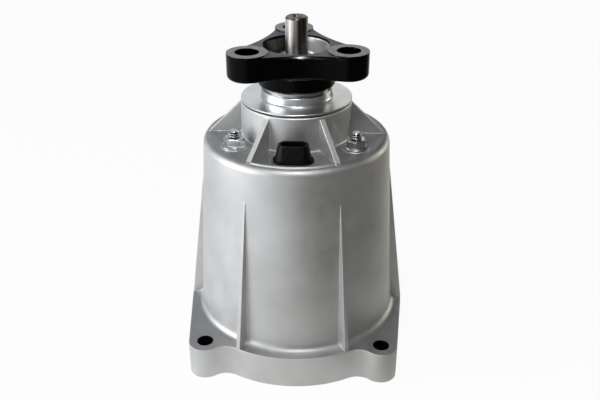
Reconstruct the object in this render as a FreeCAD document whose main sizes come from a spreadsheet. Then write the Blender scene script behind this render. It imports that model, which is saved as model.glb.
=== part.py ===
import FreeCAD, Part
import math
import os
import Sketcher

# All-wheel-drive coupling, in millimetres. The origin is the centre of the base face that bolts to
# the differential carrier, +Z points to the propeller shaft and -Y to the electrical connector.

Vector = FreeCAD.Vector

doc = FreeCAD.newDocument("coupling")
sheet = doc.addObject("Spreadsheet::Sheet", "Sizes")


# Sizes kept as a number together with the expression that gives it
class Size:
    """A value of the sheet, or one worked out from such values, with its expression."""

    def __init__(self, value, text):
        self.value = float(value)
        self.text = text

    def combine(self, other, sign, value):
        return Size(value, f"({self.text} {sign} {text_of(other)})")

    def __add__(self, other):
        return self.combine(other, "+", self.value + number(other))

    def __sub__(self, other):
        return self.combine(other, "-", self.value - number(other))

    def __mul__(self, other):
        return self.combine(other, "*", self.value * number(other))

    def __truediv__(self, other):
        return self.combine(other, "/", self.value / number(other))

    def __radd__(self, other):
        return Size(number(other), text_of(other)) + self

    def __rsub__(self, other):
        return Size(number(other), text_of(other)) - self

    def __rmul__(self, other):
        return Size(number(other), text_of(other)) * self

    def __neg__(self):
        return 0 - self


def number(value):
    return value.value if isinstance(value, Size) else float(value)


def as_size(value):
    return value if isinstance(value, Size) else Size(value, f"({value})")


def text_of(value):
    return value.text if isinstance(value, Size) else f"({value})"


def sine(angle):
    return Size(math.sin(math.radians(number(angle))), f"sin({text_of(angle)} * 1 deg)")


def cosine(angle):
    return Size(math.cos(math.radians(number(angle))), f"cos({text_of(angle)} * 1 deg)")


def root(value):
    return Size(math.sqrt(number(value)), f"sqrt({text_of(value)})")


rows_used = 0


def size(name, value, note):
    """Writes one driving dimension into the sheet and returns it."""
    global rows_used
    rows_used += 1
    cell = f"B{rows_used}"
    sheet.set(f"A{rows_used}", name)
    sheet.set(cell, str(value))
    sheet.setAlias(cell, name)
    sheet.set(f"C{rows_used}", note)
    return Size(value, f"Sizes.{name}")


# Base flange and bell
base_radius = size("base_radius", 81.65, "front and back arcs of the base flange")
side_radius = size("side_radius", 80.3, "left and right arcs of the base flange")
base_thickness = size("base_thickness", 24, "base flange")
ear_across = size("ear_across", 125, "between bolt holes along X")
ear_along = size("ear_along", 127, "between bolt holes along Y")
ear_radius = size("ear_radius", 11.5, "bolt ear")
ear_blend = size("ear_blend", 13, "hollow between ear and arc")
ear_hole = size("ear_hole", 5.5, "bolt hole radius")
barrel_foot = size("barrel_foot", 72.5, "barrel radius at the base flange")
barrel_head = size("barrel_head", 64.9, "barrel radius at the end wall")
barrel_wall = size("barrel_wall", 5.6, "wall of the barrel")
base_fillet = size("base_fillet", 5.5, "round between barrel and base flange")
shoulder_fillet = size("shoulder_fillet", 6, "round between barrel and end wall")
end_wall_top = size("end_wall_top", 160, "height of the end wall")
end_wall = size("end_wall", 6, "thickness of the end wall")
register_radius = size("register_radius", 69.5, "bore that centres the carrier")
register_depth = size("register_depth", 8, "depth of that bore")
nose_radius = size("nose_radius", 38, "nose round the bearing")
nose_top = size("nose_top", 184.5, "top of the nose")
rib_angle = size("rib_angle", 61.6, "front and rear ribs and gussets from the X axis, degrees")
rib_reach = size("rib_reach", 80.6, "radius of a rib at its foot")
rib_top = size("rib_top", 133, "height where a rib runs out")
rib_edge = size("rib_edge", 3, "width of a rib's edge at its foot")
rib_root = size("rib_root", 5.2, "width of a rib's root at its foot")
rib_narrowing = size("rib_narrowing", 0.4, "widths at the top compared with the foot")
gusset_top = size("gusset_top", 182.6, "top of a gusset")
gusset_reach = size("gusset_reach", 62.2, "radius of a gusset at its foot")
gusset_drop = size("gusset_drop", 1, "gusset foot below the end wall")
gusset_width = size("gusset_width", 3.4, "thickness of a gusset")
pad_radius = size("pad_radius", 60.9, "outer edge of the connector pad")
pad_rise = size("pad_rise", 0.7, "pad above the end wall")
cast_round = size("cast_round", 1.2, "small cast rounds")

# Bearing, circlip and oil seal in the nose
bearing_bore = size("bearing_bore", 15, "inner ring bore radius")
bearing_outside = size("bearing_outside", 31, "outer ring radius")
bearing_width = size("bearing_width", 16, "both rings")
bearing_space = size("bearing_space", 0.5, "between the circlip and the seal")
bearing_lip = size("bearing_lip", 27, "bore below the bearing")
race_inner = size("race_inner", 19, "inner race radius")
roller_radius = size("roller_radius", 4, "bearing roller")
roller_count = size("roller_count", 11, "bearing rollers")
roller_length = size("roller_length", 9, "bearing roller")
race_rib = size("race_rib", 2, "rib beside a race")
cage_wall = size("cage_wall", 2, "radial thickness of the cage")
circlip_width = size("circlip_width", 2, "circlip thickness")
circlip_depth = size("circlip_depth", 2, "groove depth")
circlip_inside = size("circlip_inside", 27.5, "inner radius of the circlip")
circlip_gap = size("circlip_gap", 14, "gap between the circlip's ends")
seal_width = size("seal_width", 8, "oil seal")
seal_sink = size("seal_sink", 0.5, "seal below the nose rim")
seal_metal = size("seal_metal", 1.2, "wall of the seal's case")
journal_radius = size("journal_radius", 21, "seal journal on the flange hub")
garter_radius = size("garter_radius", 0.9, "wire coil of the seal's spring")

# Three-arm flange, deflector, nut and shaft
flange_turn = size("flange_turn", 5.18, "how the flange stands turned, degrees")
flange_bottom = size("flange_bottom", 206, "underside of the arms")
flange_thickness = size("flange_thickness", 16.5, "arms and web")
arm_count = size("arm_count", 3, "arms of the flange")
arm_radius = size("arm_radius", 38, "radius of the bolt circle")
boss_radius = size("boss_radius", 13.5, "boss at the end of an arm")
boss_rise = size("boss_rise", 1.1, "boss face above the web")
boss_hole = size("boss_hole", 8, "bolt hole radius")
arm_hollow = size("arm_hollow", 97, "radius of the hollow sides")
flange_round = size("flange_round", 3.2, "lower edge of the arms")
flange_edge = size("flange_edge", 1.4, "upper edge of the arms")
pocket_radius = size("pocket_radius", 21.6, "pocket round the nut")
pocket_floor = size("pocket_floor", 207, "floor of that pocket")
hub_radius = size("hub_radius", 26.3, "flange hub below the arms")
hub_land_end = size("hub_land_end", 195.3, "height where the turned land ends")
hub_shoulder = size("hub_shoulder", 1.7, "height of the slope between land and hub")
hub_land = size("hub_land", 22.9, "turned land for the deflector")
deflector_top = size("deflector_top", 192.8, "top of the deflector's collar")
deflector_wall = size("deflector_wall", 1.2, "sheet thickness")
deflector_radius = size("deflector_radius", 38, "disc of the deflector")
deflector_gap = size("deflector_gap", 1.3, "disc above the nose")
deflector_bend = size("deflector_bend", 2.4, "bend between collar and disc")
nut_height = size("nut_height", 8.5, "flange nut")
nut_flats = size("nut_flats", 24, "across the flats of the flange nut")
thread_radius = size("thread_radius", 8, "shaft thread")
pin_radius = size("pin_radius", 7.5, "centring pin")
pin_top = size("pin_top", 241.3, "top of the pin")
pin_chamfer = size("pin_chamfer", 0.9, "edge of the pin")
centre_hole = size("centre_hole", 2.6, "centre drilling in the pin's end")
drive_radius = size("drive_radius", 12, "splined seat of the flange")
drive_teeth = size("drive_teeth", 18, "teeth of that spline")
drive_depth = size("drive_depth", 1.2, "tooth height")
shaft_waist = size("shaft_waist", 18.5, "shaft inside the magnet")

# Electromagnet
yoke_radius = size("yoke_radius", 57, "outside of the yoke")
yoke_bore = size("yoke_bore", 30, "bore of the yoke")
yoke_wall = size("yoke_wall", 7, "inner and outer pole rings")
yoke_roof = size("yoke_roof", 8, "plate over the coil")
air_gap = size("air_gap", 0.8, "between yoke and clutch cover")
coil_height = size("coil_height", 22, "winding")
stud_circle = size("stud_circle", 49, "studs from the axis")
stud_angle = size("stud_angle", 33.8, "front studs before the X axis, degrees")
stud_radius = size("stud_radius", 4, "stud")
stud_top = size("stud_top", 171.6, "top of a stud")
stud_seat = size("stud_seat", 9.1, "raised seat round a stud")
seat_rise = size("seat_rise", 0.4, "that seat above the end wall")
nut_flange = size("nut_flange", 8.6, "flange of a stud nut")
nut_hex = size("nut_hex", 12, "across the flats of a stud nut")
nut_tall = size("nut_tall", 8, "height of a stud nut")
nut_rim = size("nut_rim", 1.6, "thickness of its flange")
nut_turns = (30, 0, 0)

# Connector
plug_radius = size("plug_radius", 49.4, "connector from the axis")
tower_width = size("tower_width", 19.8, "top of the connector tower")
tower_depth = size("tower_depth", 10.8, "top of the connector tower")
tower_flare = size("tower_flare", 2.6, "tower wider at its foot, at each end")
tower_slope = size("tower_slope", 1.1, "tower deeper at its foot, front and back")
tower_height = size("tower_height", 11.1, "tower above the pad")
tower_wall = size("tower_wall", 1.5, "wall of the tower")
tower_floor = size("tower_floor", 2.2, "floor of the socket")
plate_width = size("plate_width", 26.8, "base plate")
plate_depth = size("plate_depth", 14, "base plate")
plate_thickness = size("plate_thickness", 1.8, "base plate")
recess_margin = size("recess_margin", 2.1, "recess round the base plate")
recess_depth = size("recess_depth", 0.7, "that recess")
stem_inset = size("stem_inset", 2.2, "stem inside the tower's outline")
stem_seal = size("stem_seal", 1.6, "rubber ring round the stem")
blade_width = size("blade_width", 2.8, "terminal blade")
blade_thickness = size("blade_thickness", 0.8, "terminal blade")
blade_spacing = size("blade_spacing", 7, "between the blades")
blade_length = size("blade_length", 15.5, "terminal blade")
lead_width = size("lead_width", 8, "sleeve of the magnet's wires")
lead_thickness = size("lead_thickness", 3, "sleeve of the magnet's wires")

# Clutch
cover_bottom = size("cover_bottom", 108, "underside of the clutch cover")
cover_thickness = size("cover_thickness", 10, "clutch cover")
pole_inner = size("pole_inner", 38.5, "inner pole disc on the shaft")
break_width = size("break_width", 3, "non-magnetic ring")
drum_radius = size("drum_radius", 56.5, "outside of the drum")
drum_bore = size("drum_bore", 51, "bore of the drum")
cover_seat = size("cover_seat", 53.5, "bore that takes the cover")
drum_floor = size("drum_floor", 8, "floor of the drum")
drum_floor_top = size("drum_floor_top", 61, "inside of the drum's floor")
drum_boss = size("drum_boss", 27, "boss round the hub's bearing")
drum_bottom = size("drum_bottom", 37, "lower end of that boss")
drum_groove = size("drum_groove", 1.8, "depth of the plate grooves")
lug_count = size("lug_count", 8, "lugs of a plate")
lug_width = size("lug_width", 8, "lug of a plate")
inner_lug = size("inner_lug", 1.4, "height of the lugs on the inner plates")
seal_ring = size("seal_ring", 1.2, "section of the cover's seal ring")
plate_thick = size("plate_thick", 1.8, "main clutch plate")
plate_gap = size("plate_gap", 0.25, "between two main plates")
outer_plates = size("outer_plates", 5, "outer plates of the main clutch")
pilot_thick = size("pilot_thick", 1.6, "pilot clutch plate")
pilot_gap = size("pilot_gap", 0.25, "between two pilot plates")
armature_thick = size("armature_thick", 7, "armature plate")
armature_travel = size("armature_travel", 0.4, "stroke of the armature")
washer_thick = size("washer_thick", 0.9, "thrust washer")
cam_seat = size("cam_seat", 20, "hub radius under the cams")
pilot_cam_radius = size("pilot_cam_radius", 36, "outside of the pilot cam")
pilot_cam_bottom = size("pilot_cam_bottom", 93, "ramp face of the pilot cam")
main_cam_radius = size("main_cam_radius", 48, "outside of the main cam")
main_cam_thick = size("main_cam_thick", 8, "main cam")
cam_key = size("cam_key", 1.6, "height of the keys between hub and main cam")
key_width = size("key_width", 5, "width of those keys")
key_count = size("key_count", 6, "keys")
ball_radius = size("ball_radius", 4, "cam ball")
ball_circle = size("ball_circle", 28, "radius of the ball circle")
ball_count = size("ball_count", 3, "cam balls")
ramp_depth = size("ramp_depth", 2, "deepest point of a ramp")
ramp_length = size("ramp_length", 13.3, "half length of a ramp")
ramp_width = size("ramp_width", 9.8, "width of a ramp")

# Output hub
hub_bottom = size("hub_bottom", 30, "lower end of the hub")
hub_neck = size("hub_neck", 17.4, "bearing and seal seat")
plate_hub = size("plate_hub", 30, "hub that carries the inner plates")
spigot_radius = size("spigot_radius", 12, "upper end of the hub")
spigot_length = size("spigot_length", 8, "upper end of the hub")
bush_wall = size("bush_wall", 1.5, "wall of the bush")
pinion_minor = size("pinion_minor", 11.6, "tooth tips of the pinion spline")
pinion_depth = size("pinion_depth", 1.5, "tooth height of that spline")
pinion_teeth = size("pinion_teeth", 20, "teeth of the pinion spline")
pinion_pilot = size("pinion_pilot", 13.6, "plain bore at the mouth")
pinion_lead = size("pinion_lead", 8, "length of the plain bore")
spline_top = size("spline_top", 84, "blind end of the pinion spline")
needle_radius = size("needle_radius", 1.75, "needle roller")
needle_count = size("needle_count", 12, "needle rollers")
needle_length = size("needle_length", 11, "needle roller")
needle_wall = size("needle_wall", 1, "drawn cup of the needles")
hub_seal_width = size("hub_seal_width", 6, "seal at the hub")
plug_shank = size("plug_shank", 4, "filler plug radius")
plug_head = size("plug_head", 6, "radius of its head")
plug_key = size("plug_key", 4, "across the flats of its socket")

# Clearances
fit = size("fit", 0.04, "close fit of parts that stay together")
running = size("running", 0.06, "running fit of a shaft in its bore")
free = size("free", 0.3, "gap between parts that move past each other")


# Bodies and sketches
bodies = []


def new_body(label):
    body = doc.addObject("PartDesign::Body", label)
    body.Label = label
    body.AllowCompound = True
    bodies.append(body)
    return body


def datum(body, role):
    return next(item for item in body.Origin.OriginFeatures if item.Role == role)


def bind(item, name, value):
    """Sets a property to a size and ties it to the sheet."""
    if isinstance(value, Size):
        item.setExpression(name, value.text)


def new_sketch(body, name, plane, offset=0, turn=0):
    """A sketch on a plane of the origin, moved off it or turned about its own upright axis."""
    sketch = body.newObject("Sketcher::SketchObject", name)
    sketch.AttachmentSupport = [(datum(body, plane), "")]
    sketch.MapMode = "FlatFace"
    rotation = FreeCAD.Rotation(Vector(0, 1, 0), number(turn))
    sketch.AttachmentOffset = FreeCAD.Placement(Vector(0, 0, number(offset)), rotation)
    bind(sketch, "AttachmentOffset.Base.z", offset)
    bind(sketch, "AttachmentOffset.Rotation.Angle", turn)
    return sketch


def constrain(sketch, kind, *terms):
    """Adds a constraint, whose last term may be a size of the sheet."""
    last = terms[-1]
    if isinstance(last, Size):
        index = sketch.addConstraint(Sketcher.Constraint(kind, *terms[:-1], last.value))
        sketch.setExpression(f"Constraints[{index}]", last.text)
    else:
        sketch.addConstraint(Sketcher.Constraint(kind, *terms))


def pin_point(sketch, item, point, x, y):
    """Ties a point of the sketch to its coordinates."""
    constrain(sketch, "DistanceX", -1, 1, item, point, as_size(x))
    constrain(sketch, "DistanceY", -1, 1, item, point, as_size(y))


def draw_circle(sketch, x, y, radius):
    centre = Vector(number(x), number(y), 0)
    item = sketch.addGeometry(Part.Circle(centre, Vector(0, 0, 1), number(radius)), False)
    constrain(sketch, "Radius", item, radius)
    pin_point(sketch, item, 3, x, y)


def corner_round(before, here, after, radius):
    """Where a round at a corner touches its two lines, and the round's centre."""
    back = (before - here).normalize()
    ahead = (after - here).normalize()
    half = back.getAngle(ahead) / 2
    reach = radius / math.tan(half)
    bisector = (back + ahead).normalize()
    centre = here + bisector * (radius / math.sin(half))
    return here + back * reach, here + ahead * reach, centre


def arc_between(sketch, start, end, centre, left):
    """An arc from start to end, turning left or right, with its first and last point numbers."""
    first, last = (start, end) if left else (end, start)
    angles = [math.atan2(point.y - centre.y, point.x - centre.x) for point in (first, last)]
    circle = Part.Circle(centre, Vector(0, 0, 1), (start - centre).Length)
    item = sketch.addGeometry(Part.ArcOfCircle(circle, *angles), False)
    return (item, 1, 2) if left else (item, 2, 1)


def draw_polygon(sketch, corners):
    """A closed outline of straight lines. A corner is (x, y) or (x, y, radius of its round)."""
    spots = [Vector(number(corner[0]), number(corner[1]), 0) for corner in corners]
    count = len(spots)
    rounds = {}
    for index, corner in enumerate(corners):
        if len(corner) == 3:
            before, after = spots[index - 1], spots[(index + 1) % count]
            rounds[index] = corner_round(before, spots[index], after, number(corner[2]))
    lines = []
    for index in range(count):
        following = (index + 1) % count
        start = rounds[index][1] if index in rounds else spots[index]
        end = rounds[following][0] if following in rounds else spots[following]
        lines.append(sketch.addGeometry(Part.LineSegment(start, end), False))
    for index, corner in enumerate(corners):
        before, after = lines[index - 1], lines[index]
        if index not in rounds:
            constrain(sketch, "Coincident", before, 2, after, 1)
            pin_point(sketch, after, 1, corner[0], corner[1])
            continue
        touch, leave, centre = rounds[index]
        turn = (spots[index] - spots[index - 1]).cross(spots[(index + 1) % count] - spots[index]).z
        arc, first, last = arc_between(sketch, touch, leave, centre, turn > 0)
        apex = sketch.addGeometry(Part.Point(spots[index]), True)
        pin_point(sketch, apex, 1, corner[0], corner[1])
        constrain(sketch, "PointOnObject", apex, 1, before)
        constrain(sketch, "PointOnObject", apex, 1, after)
        constrain(sketch, "Tangent", before, 2, arc, first)
        constrain(sketch, "Tangent", arc, last, after, 1)
        constrain(sketch, "Radius", arc, corner[2])


def hollow_centre(one, two, radius):
    """Centre of a hollow round that touches two discs from outside, right of the way between them."""
    reach_one = one[2] + radius
    reach_two = two[2] + radius
    start = Vector(one[0], one[1], 0)
    across = Vector(two[0], two[1], 0) - start
    gap = across.Length
    along = (reach_one**2 - reach_two**2 + gap**2) / (2 * gap)
    aside = math.sqrt(reach_one**2 - along**2)
    way = across.normalize()
    return start + way * along + Vector(way.y, -way.x, 0) * aside


def tangent_line(one, two):
    """The outer tangent on the right of the way between two discs."""
    start = Vector(one[0], one[1], 0)
    end = Vector(two[0], two[1], 0)
    way = end - start
    gap = way.Length
    way.normalize()
    lean = (one[2] - two[2]) / gap
    normal = way * lean + Vector(way.y, -way.x, 0) * math.sqrt(1 - lean**2)
    return start + normal * one[2], end + normal * two[2]


def draw_discs(sketch, discs):
    """A closed outline round discs (x, y, radius, hollow). Each disc is joined to the next by a
    hollow round of that radius, or by a straight line where hollow is None."""
    plain = [[number(term) for term in disc[:3]] for disc in discs]
    count = len(discs)
    joints = []
    for index, disc in enumerate(discs):
        one, two = plain[index], plain[(index + 1) % count]
        if disc[3] is None:
            start, end = tangent_line(one, two)
            joints.append((start, end, None))
            continue
        radius = number(disc[3])
        centre = hollow_centre(one, two, radius)
        start = centre + (Vector(one[0], one[1], 0) - centre).normalize() * radius
        end = centre + (Vector(two[0], two[1], 0) - centre).normalize() * radius
        joints.append((start, end, centre))
    arcs = []
    for index, disc in enumerate(discs):
        centre = Vector(plain[index][0], plain[index][1], 0)
        arc = arc_between(sketch, joints[index - 1][1], joints[index][0], centre, True)
        constrain(sketch, "Radius", arc[0], disc[2])
        pin_point(sketch, arc[0], 3, disc[0], disc[1])
        arcs.append(arc)
    for index, (start, end, centre) in enumerate(joints):
        arc, following = arcs[index], arcs[(index + 1) % count]
        if centre is None:
            line = sketch.addGeometry(Part.LineSegment(start, end), False)
            link = (line, 1, 2)
        else:
            link = arc_between(sketch, start, end, centre, False)
            constrain(sketch, "Radius", link[0], discs[index][3])
        constrain(sketch, "Tangent", arc[0], arc[2], link[0], link[1])
        constrain(sketch, "Tangent", link[0], link[2], following[0], following[1])


def draw_box(sketch, low_x, low_y, high_x, high_y):
    draw_polygon(sketch, [(low_x, low_y), (high_x, low_y), (high_x, high_y), (low_x, high_y)])


def draw_slot(sketch, x, y, width, depth):
    """A round-ended slot, longer along X."""
    reach = (width - depth) / 2
    draw_discs(sketch, [(x - reach, y, depth / 2, None), (x + reach, y, depth / 2, None)])


# Features
def revolve(body, sketch, cut=False, angle=360):
    kind = "PartDesign::Groove" if cut else "PartDesign::Revolution"
    feature = body.newObject(kind, "Turned" + sketch.Name)
    feature.Profile = sketch
    feature.ReferenceAxis = (sketch, ["V_Axis"])
    feature.Angle = angle
    feature.Midplane = angle != 360
    return feature


def pad(body, sketch, length, middle=False):
    feature = body.newObject("PartDesign::Pad", "Pad" + sketch.Name)
    feature.Profile = sketch
    feature.Length = number(length)
    feature.Midplane = middle
    bind(feature, "Length", length)
    return feature


def pocket(body, sketch, length, middle=False, upward=False):
    """Cuts downward from the sketch, or upward."""
    feature = body.newObject("PartDesign::Pocket", "Cut" + sketch.Name)
    feature.Profile = sketch
    feature.Length = number(length)
    feature.Midplane = middle
    feature.Reversed = upward
    bind(feature, "Length", length)
    return feature


def loft(body, low, high):
    """A solid with straight sides between two sketches."""
    feature = body.newObject("PartDesign::AdditiveLoft", "Loft" + low.Name)
    feature.Profile = low
    feature.Sections = [high]
    feature.Ruled = True
    return feature


def around(body, features, count):
    """Repeats features about the axis."""
    pattern = body.newObject("PartDesign::PolarPattern", "Ring" + features[0].Name)
    pattern.Originals = features
    pattern.Axis = (datum(body, "Z_Axis"), [""])
    pattern.Angle = 360
    pattern.Occurrences = int(number(count))
    bind(pattern, "Occurrences", count)
    body.Tip = pattern
    return pattern


def stack(body, feature, count, pitch):
    """Repeats a feature upward."""
    pattern = body.newObject("PartDesign::LinearPattern", "Row" + feature.Name)
    pattern.Originals = [feature]
    pattern.Direction = (datum(body, "Z_Axis"), [""])
    pattern.Mode = "Spacing"
    pattern.Offset = number(pitch)
    bind(pattern, "Offset", pitch)
    pattern.Occurrences = int(number(count))
    bind(pattern, "Occurrences", count)
    body.Tip = pattern
    return pattern


def turned(label, *outlines):
    """A piece turned about the axis from outlines of (radius, height) corners."""
    body = new_body(label)
    sketch = new_sketch(body, "Profile", "XZ_Plane")
    for corners in outlines:
        draw_polygon(sketch, corners)
    revolve(body, sketch)
    return body


def ring(inside, outside, bottom, top):
    """Corners of a plain ring's section."""
    return [(inside, bottom), (outside, bottom), (outside, top), (inside, top)]


def edges_at(shape, height, near, far):
    """Names of the edges that lie flat at a height, between two distances from the axis."""
    names = []
    for index, edge in enumerate(shape.Edges, 1):
        box = edge.BoundBox
        flat = abs(box.ZMin - height) < 1e-3 and abs(box.ZMax - height) < 1e-3
        point = edge.valueAt((edge.FirstParameter + edge.LastParameter) / 2)
        if flat and near <= math.hypot(point.x, point.y) <= far:
            names.append(f"Edge{index}")
    return names


def soften(body, kind, base, names, reach):
    """Rounds or chamfers the named edges of a feature."""
    feature = body.newObject("PartDesign::" + kind, kind + base.Name)
    feature.Base = (base, names)
    name = "Radius" if kind == "Fillet" else "Size"
    setattr(feature, name, number(reach))
    bind(feature, name, reach)
    return feature


# Heights and radii that follow from the sizes
end_wall_under = end_wall_top - end_wall
barrel_lean = (barrel_foot - barrel_head) / (end_wall_top - base_thickness)
cavity_foot = barrel_foot + barrel_lean * (base_thickness - register_depth) - barrel_wall
cavity_head = barrel_head + barrel_lean * end_wall - barrel_wall
seal_top = nose_top - seal_sink
seal_bottom = seal_top - seal_width
circlip_top = seal_bottom - bearing_space
bearing_top = circlip_top - circlip_width
bearing_seat = bearing_top - bearing_width
flange_top = flange_bottom + flange_thickness
boss_top = flange_top + boss_rise
deflector_under = nose_top + deflector_gap
deflector_face = deflector_under + deflector_wall
nut_top = pocket_floor + nut_height
cover_top = cover_bottom + cover_thickness
yoke_bottom = cover_top + air_gap
yoke_top = end_wall_under
coil_top = yoke_top - yoke_roof
coil_inside = yoke_bore + yoke_wall
coil_outside = yoke_radius - yoke_wall
stud_root = coil_top + cast_round
pad_top = end_wall_top + pad_rise
nut_seat = end_wall_top + seat_rise
front_stud = (stud_circle * cosine(stud_angle), -stud_circle * sine(stud_angle))
stud_places = [front_stud, (0, stud_circle), (-front_stud[0], front_stud[1])]
rib_end = barrel_head + barrel_lean * (end_wall_top - rib_top) + cast_round / 6
drive_top = pocket_floor - cast_round * 2
bush_outside = spigot_radius + running + bush_wall
stem_width = tower_width - stem_inset * 2
stem_depth = tower_depth - stem_inset * 2
hole_width = stem_width + (stem_seal + fit) * 2
hole_depth = stem_depth + (stem_seal + fit) * 2
lead_place = lead_thickness / 2 + fit - coil_outside
race_outer = race_inner + roller_radius * 2
rib_low = bearing_seat + (bearing_width - roller_length) / 2 - free / 2
rib_high = rib_low + roller_length + free


def bell_housing():
    """Cast bell with base flange, ribs, gussets, nose and connector pad."""
    body = new_body("bell_housing")
    outline = new_sketch(body, "BaseOutline", "XY_Plane")
    x, y = ear_across / 2, ear_along / 2
    ears = [(x, -y), (x, y), (-x, y), (-x, -y)]
    south = (0, 0, base_radius, ear_blend)
    east = (0, 0, side_radius, None)
    north = (0, 0, base_radius, ear_blend)
    west = (0, 0, side_radius, None)
    corner = [(x, y, ear_radius) for x, y in ears]
    draw_discs(outline, [
        south, corner[0] + (None,), east, corner[1] + (ear_blend,),
        north, corner[2] + (None,), west, corner[3] + (ear_blend,),
    ])
    pad(body, outline, base_thickness)

    skin = new_sketch(body, "Skin", "XZ_Plane")
    inner = base_thickness / 2
    draw_polygon(skin, [
        (0, inner), (base_radius - base_fillet, inner), (base_radius - base_fillet, base_thickness),
        (barrel_foot, base_thickness, base_fillet), (barrel_head, end_wall_top, shoulder_fillet),
        (nose_radius, end_wall_top, cast_round * 2), (nose_radius, nose_top - cast_round / 2),
        (nose_radius - cast_round / 2, nose_top), (0, nose_top),
    ])
    revolve(body, skin)

    for turn in (0, rib_angle, -rib_angle):
        foot = rib_plan(body, "RibFoot", base_thickness - cast_round, rib_reach, turn, 1)
        head = rib_plan(body, "RibHead", rib_top, rib_end, turn, rib_narrowing)
        around(body, [loft(body, foot, head)], 2)
        gusset = new_sketch(body, "Gusset", "XZ_Plane", turn=turn)
        draw_polygon(gusset, [
            (bearing_outside + cast_round, end_wall_under + cast_round),
            (gusset_reach - end_wall / 2, end_wall_under + cast_round),
            (gusset_reach, end_wall_top - gusset_drop),
            (nose_radius, gusset_top), (bearing_outside + cast_round, gusset_top),
        ])
        around(body, [pad(body, gusset, gusset_width, middle=True)], 2)

    plinth = new_sketch(body, "Plinth", "YZ_Plane")
    pad_edge = cast_round / 2 - pad_radius
    draw_polygon(plinth, [
        (-nose_radius + cast_round, end_wall_under + cast_round), (-nose_radius + cast_round, pad_top),
        (pad_edge, pad_top), (-pad_radius, pad_top - cast_round / 2),
        (-pad_radius, end_wall_under + cast_round),
    ])
    revolve(body, plinth, angle=60)

    seat = new_sketch(body, "StudSeat", "XY_Plane", end_wall_under + cast_round)
    for x, y in stud_places:
        draw_circle(seat, x, y, stud_seat)
    pad(body, seat, end_wall - cast_round + seat_rise)

    cavity = new_sketch(body, "Cavity", "XZ_Plane")
    draw_polygon(cavity, [
        (0, -1), (register_radius, -1), (register_radius, register_depth), (cavity_foot, register_depth),
        (cavity_head, end_wall_under - cast_round * 2), (cavity_head - cast_round * 2, end_wall_under),
        (bearing_lip, end_wall_under),
        (bearing_lip, bearing_seat), (bearing_outside, bearing_seat), (bearing_outside, bearing_top),
        (bearing_outside + circlip_depth, bearing_top), (bearing_outside + circlip_depth, circlip_top),
        (bearing_outside, circlip_top), (bearing_outside, nose_top + 1), (0, nose_top + 1),
    ])
    revolve(body, cavity, cut=True)

    holes = new_sketch(body, "EarHoles", "XY_Plane", base_thickness + 1)
    for x, y in ears:
        draw_circle(holes, x, y, ear_hole)
    pocket(body, holes, base_thickness + 2)

    stud_hole = new_sketch(body, "StudHole", "XY_Plane", end_wall_top + 1)
    for x, y in stud_places:
        draw_circle(stud_hole, x, y, stud_radius + free)
    pocket(body, stud_hole, end_wall + 2)

    recess = new_sketch(body, "PlugRecess", "XY_Plane", pad_top + 1)
    margin = recess_margin * 2
    draw_slot(recess, 0, -plug_radius, plate_width + margin, plate_depth + margin)
    pocket(body, recess, recess_depth + 1)
    hole = new_sketch(body, "PlugHole", "XY_Plane", pad_top + 1)
    draw_slot(hole, 0, -plug_radius, hole_width, hole_depth)
    pocket(body, hole, end_wall + pad_rise + 2)


def rib_plan(body, name, height, reach, turn, share):
    """Plan of a barrel rib at one height: a narrow outer edge and a wider root in the wall."""
    plan = new_sketch(body, name, "XY_Plane", height)
    wall = barrel_foot + barrel_lean * (base_thickness - height) - barrel_wall / 2
    root_half, edge_half = rib_root * share / 2, rib_edge * share / 2
    corners = [(wall, -root_half), (reach, -edge_half), (reach, edge_half), (wall, root_half)]
    along, aside = cosine(turn), sine(turn)
    draw_polygon(plan, [(x * along - y * aside, x * aside + y * along) for x, y in corners])
    return plan


def magnet_yoke():
    """Steel ring whose groove, open below, holds the coil."""
    body = turned("magnet_yoke", [
        (yoke_bore, yoke_bottom), (coil_inside, yoke_bottom), (coil_inside, coil_top),
        (coil_outside, coil_top), (coil_outside, yoke_bottom), (yoke_radius, yoke_bottom),
        (yoke_radius, yoke_top), (yoke_bore, yoke_top),
    ])
    stud_hole = new_sketch(body, "StudHole", "XY_Plane", yoke_top + 1)
    for x, y in stud_places:
        draw_circle(stud_hole, x, y, stud_radius + fit)
    pocket(body, stud_hole, yoke_top + 1 - stud_root)
    lead_hole = new_sketch(body, "LeadHole", "XY_Plane", yoke_top + 1)
    draw_slot(lead_hole, 0, lead_place, lead_width + fit * 2, lead_thickness + fit * 2)
    pocket(body, lead_hole, yoke_roof + 1.5)


def magnet_coil():
    turned("magnet_coil", ring(coil_inside + fit, coil_outside - fit, coil_top - coil_height, coil_top - fit))


def magnet_lead():
    """Insulated pair of wires between the coil and the connector's stem."""
    body = new_body("magnet_lead")
    section = new_sketch(body, "Sleeve", "XY_Plane", coil_top)
    draw_slot(section, 0, lead_place, lead_width, lead_thickness)
    pad(body, section, yoke_roof - fit)


def magnet_studs():
    """Three studs, each with a bevelled end."""
    body = new_body("magnet_studs")
    shank = new_sketch(body, "Shank", "XY_Plane", stud_root + fit)
    end = new_sketch(body, "End", "XY_Plane", stud_top - cast_round)
    for x, y in stud_places:
        draw_circle(shank, x, y, stud_radius)
        draw_circle(end, x, y, stud_radius)
    pad(body, shank, stud_top - cast_round - stud_root - fit)
    pad(body, end, cast_round).TaperAngle = -45


def hexagon(sketch, x, y, flats, first=0):
    """Hexagon across flats, whose first corner stands at an angle from the X direction."""
    corner = flats / math.sqrt(3)
    turns = [first + 60 * index for index in range(6)]
    draw_polygon(sketch, [(x + cosine(turn) * corner, y + sine(turn) * corner) for turn in turns])


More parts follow.
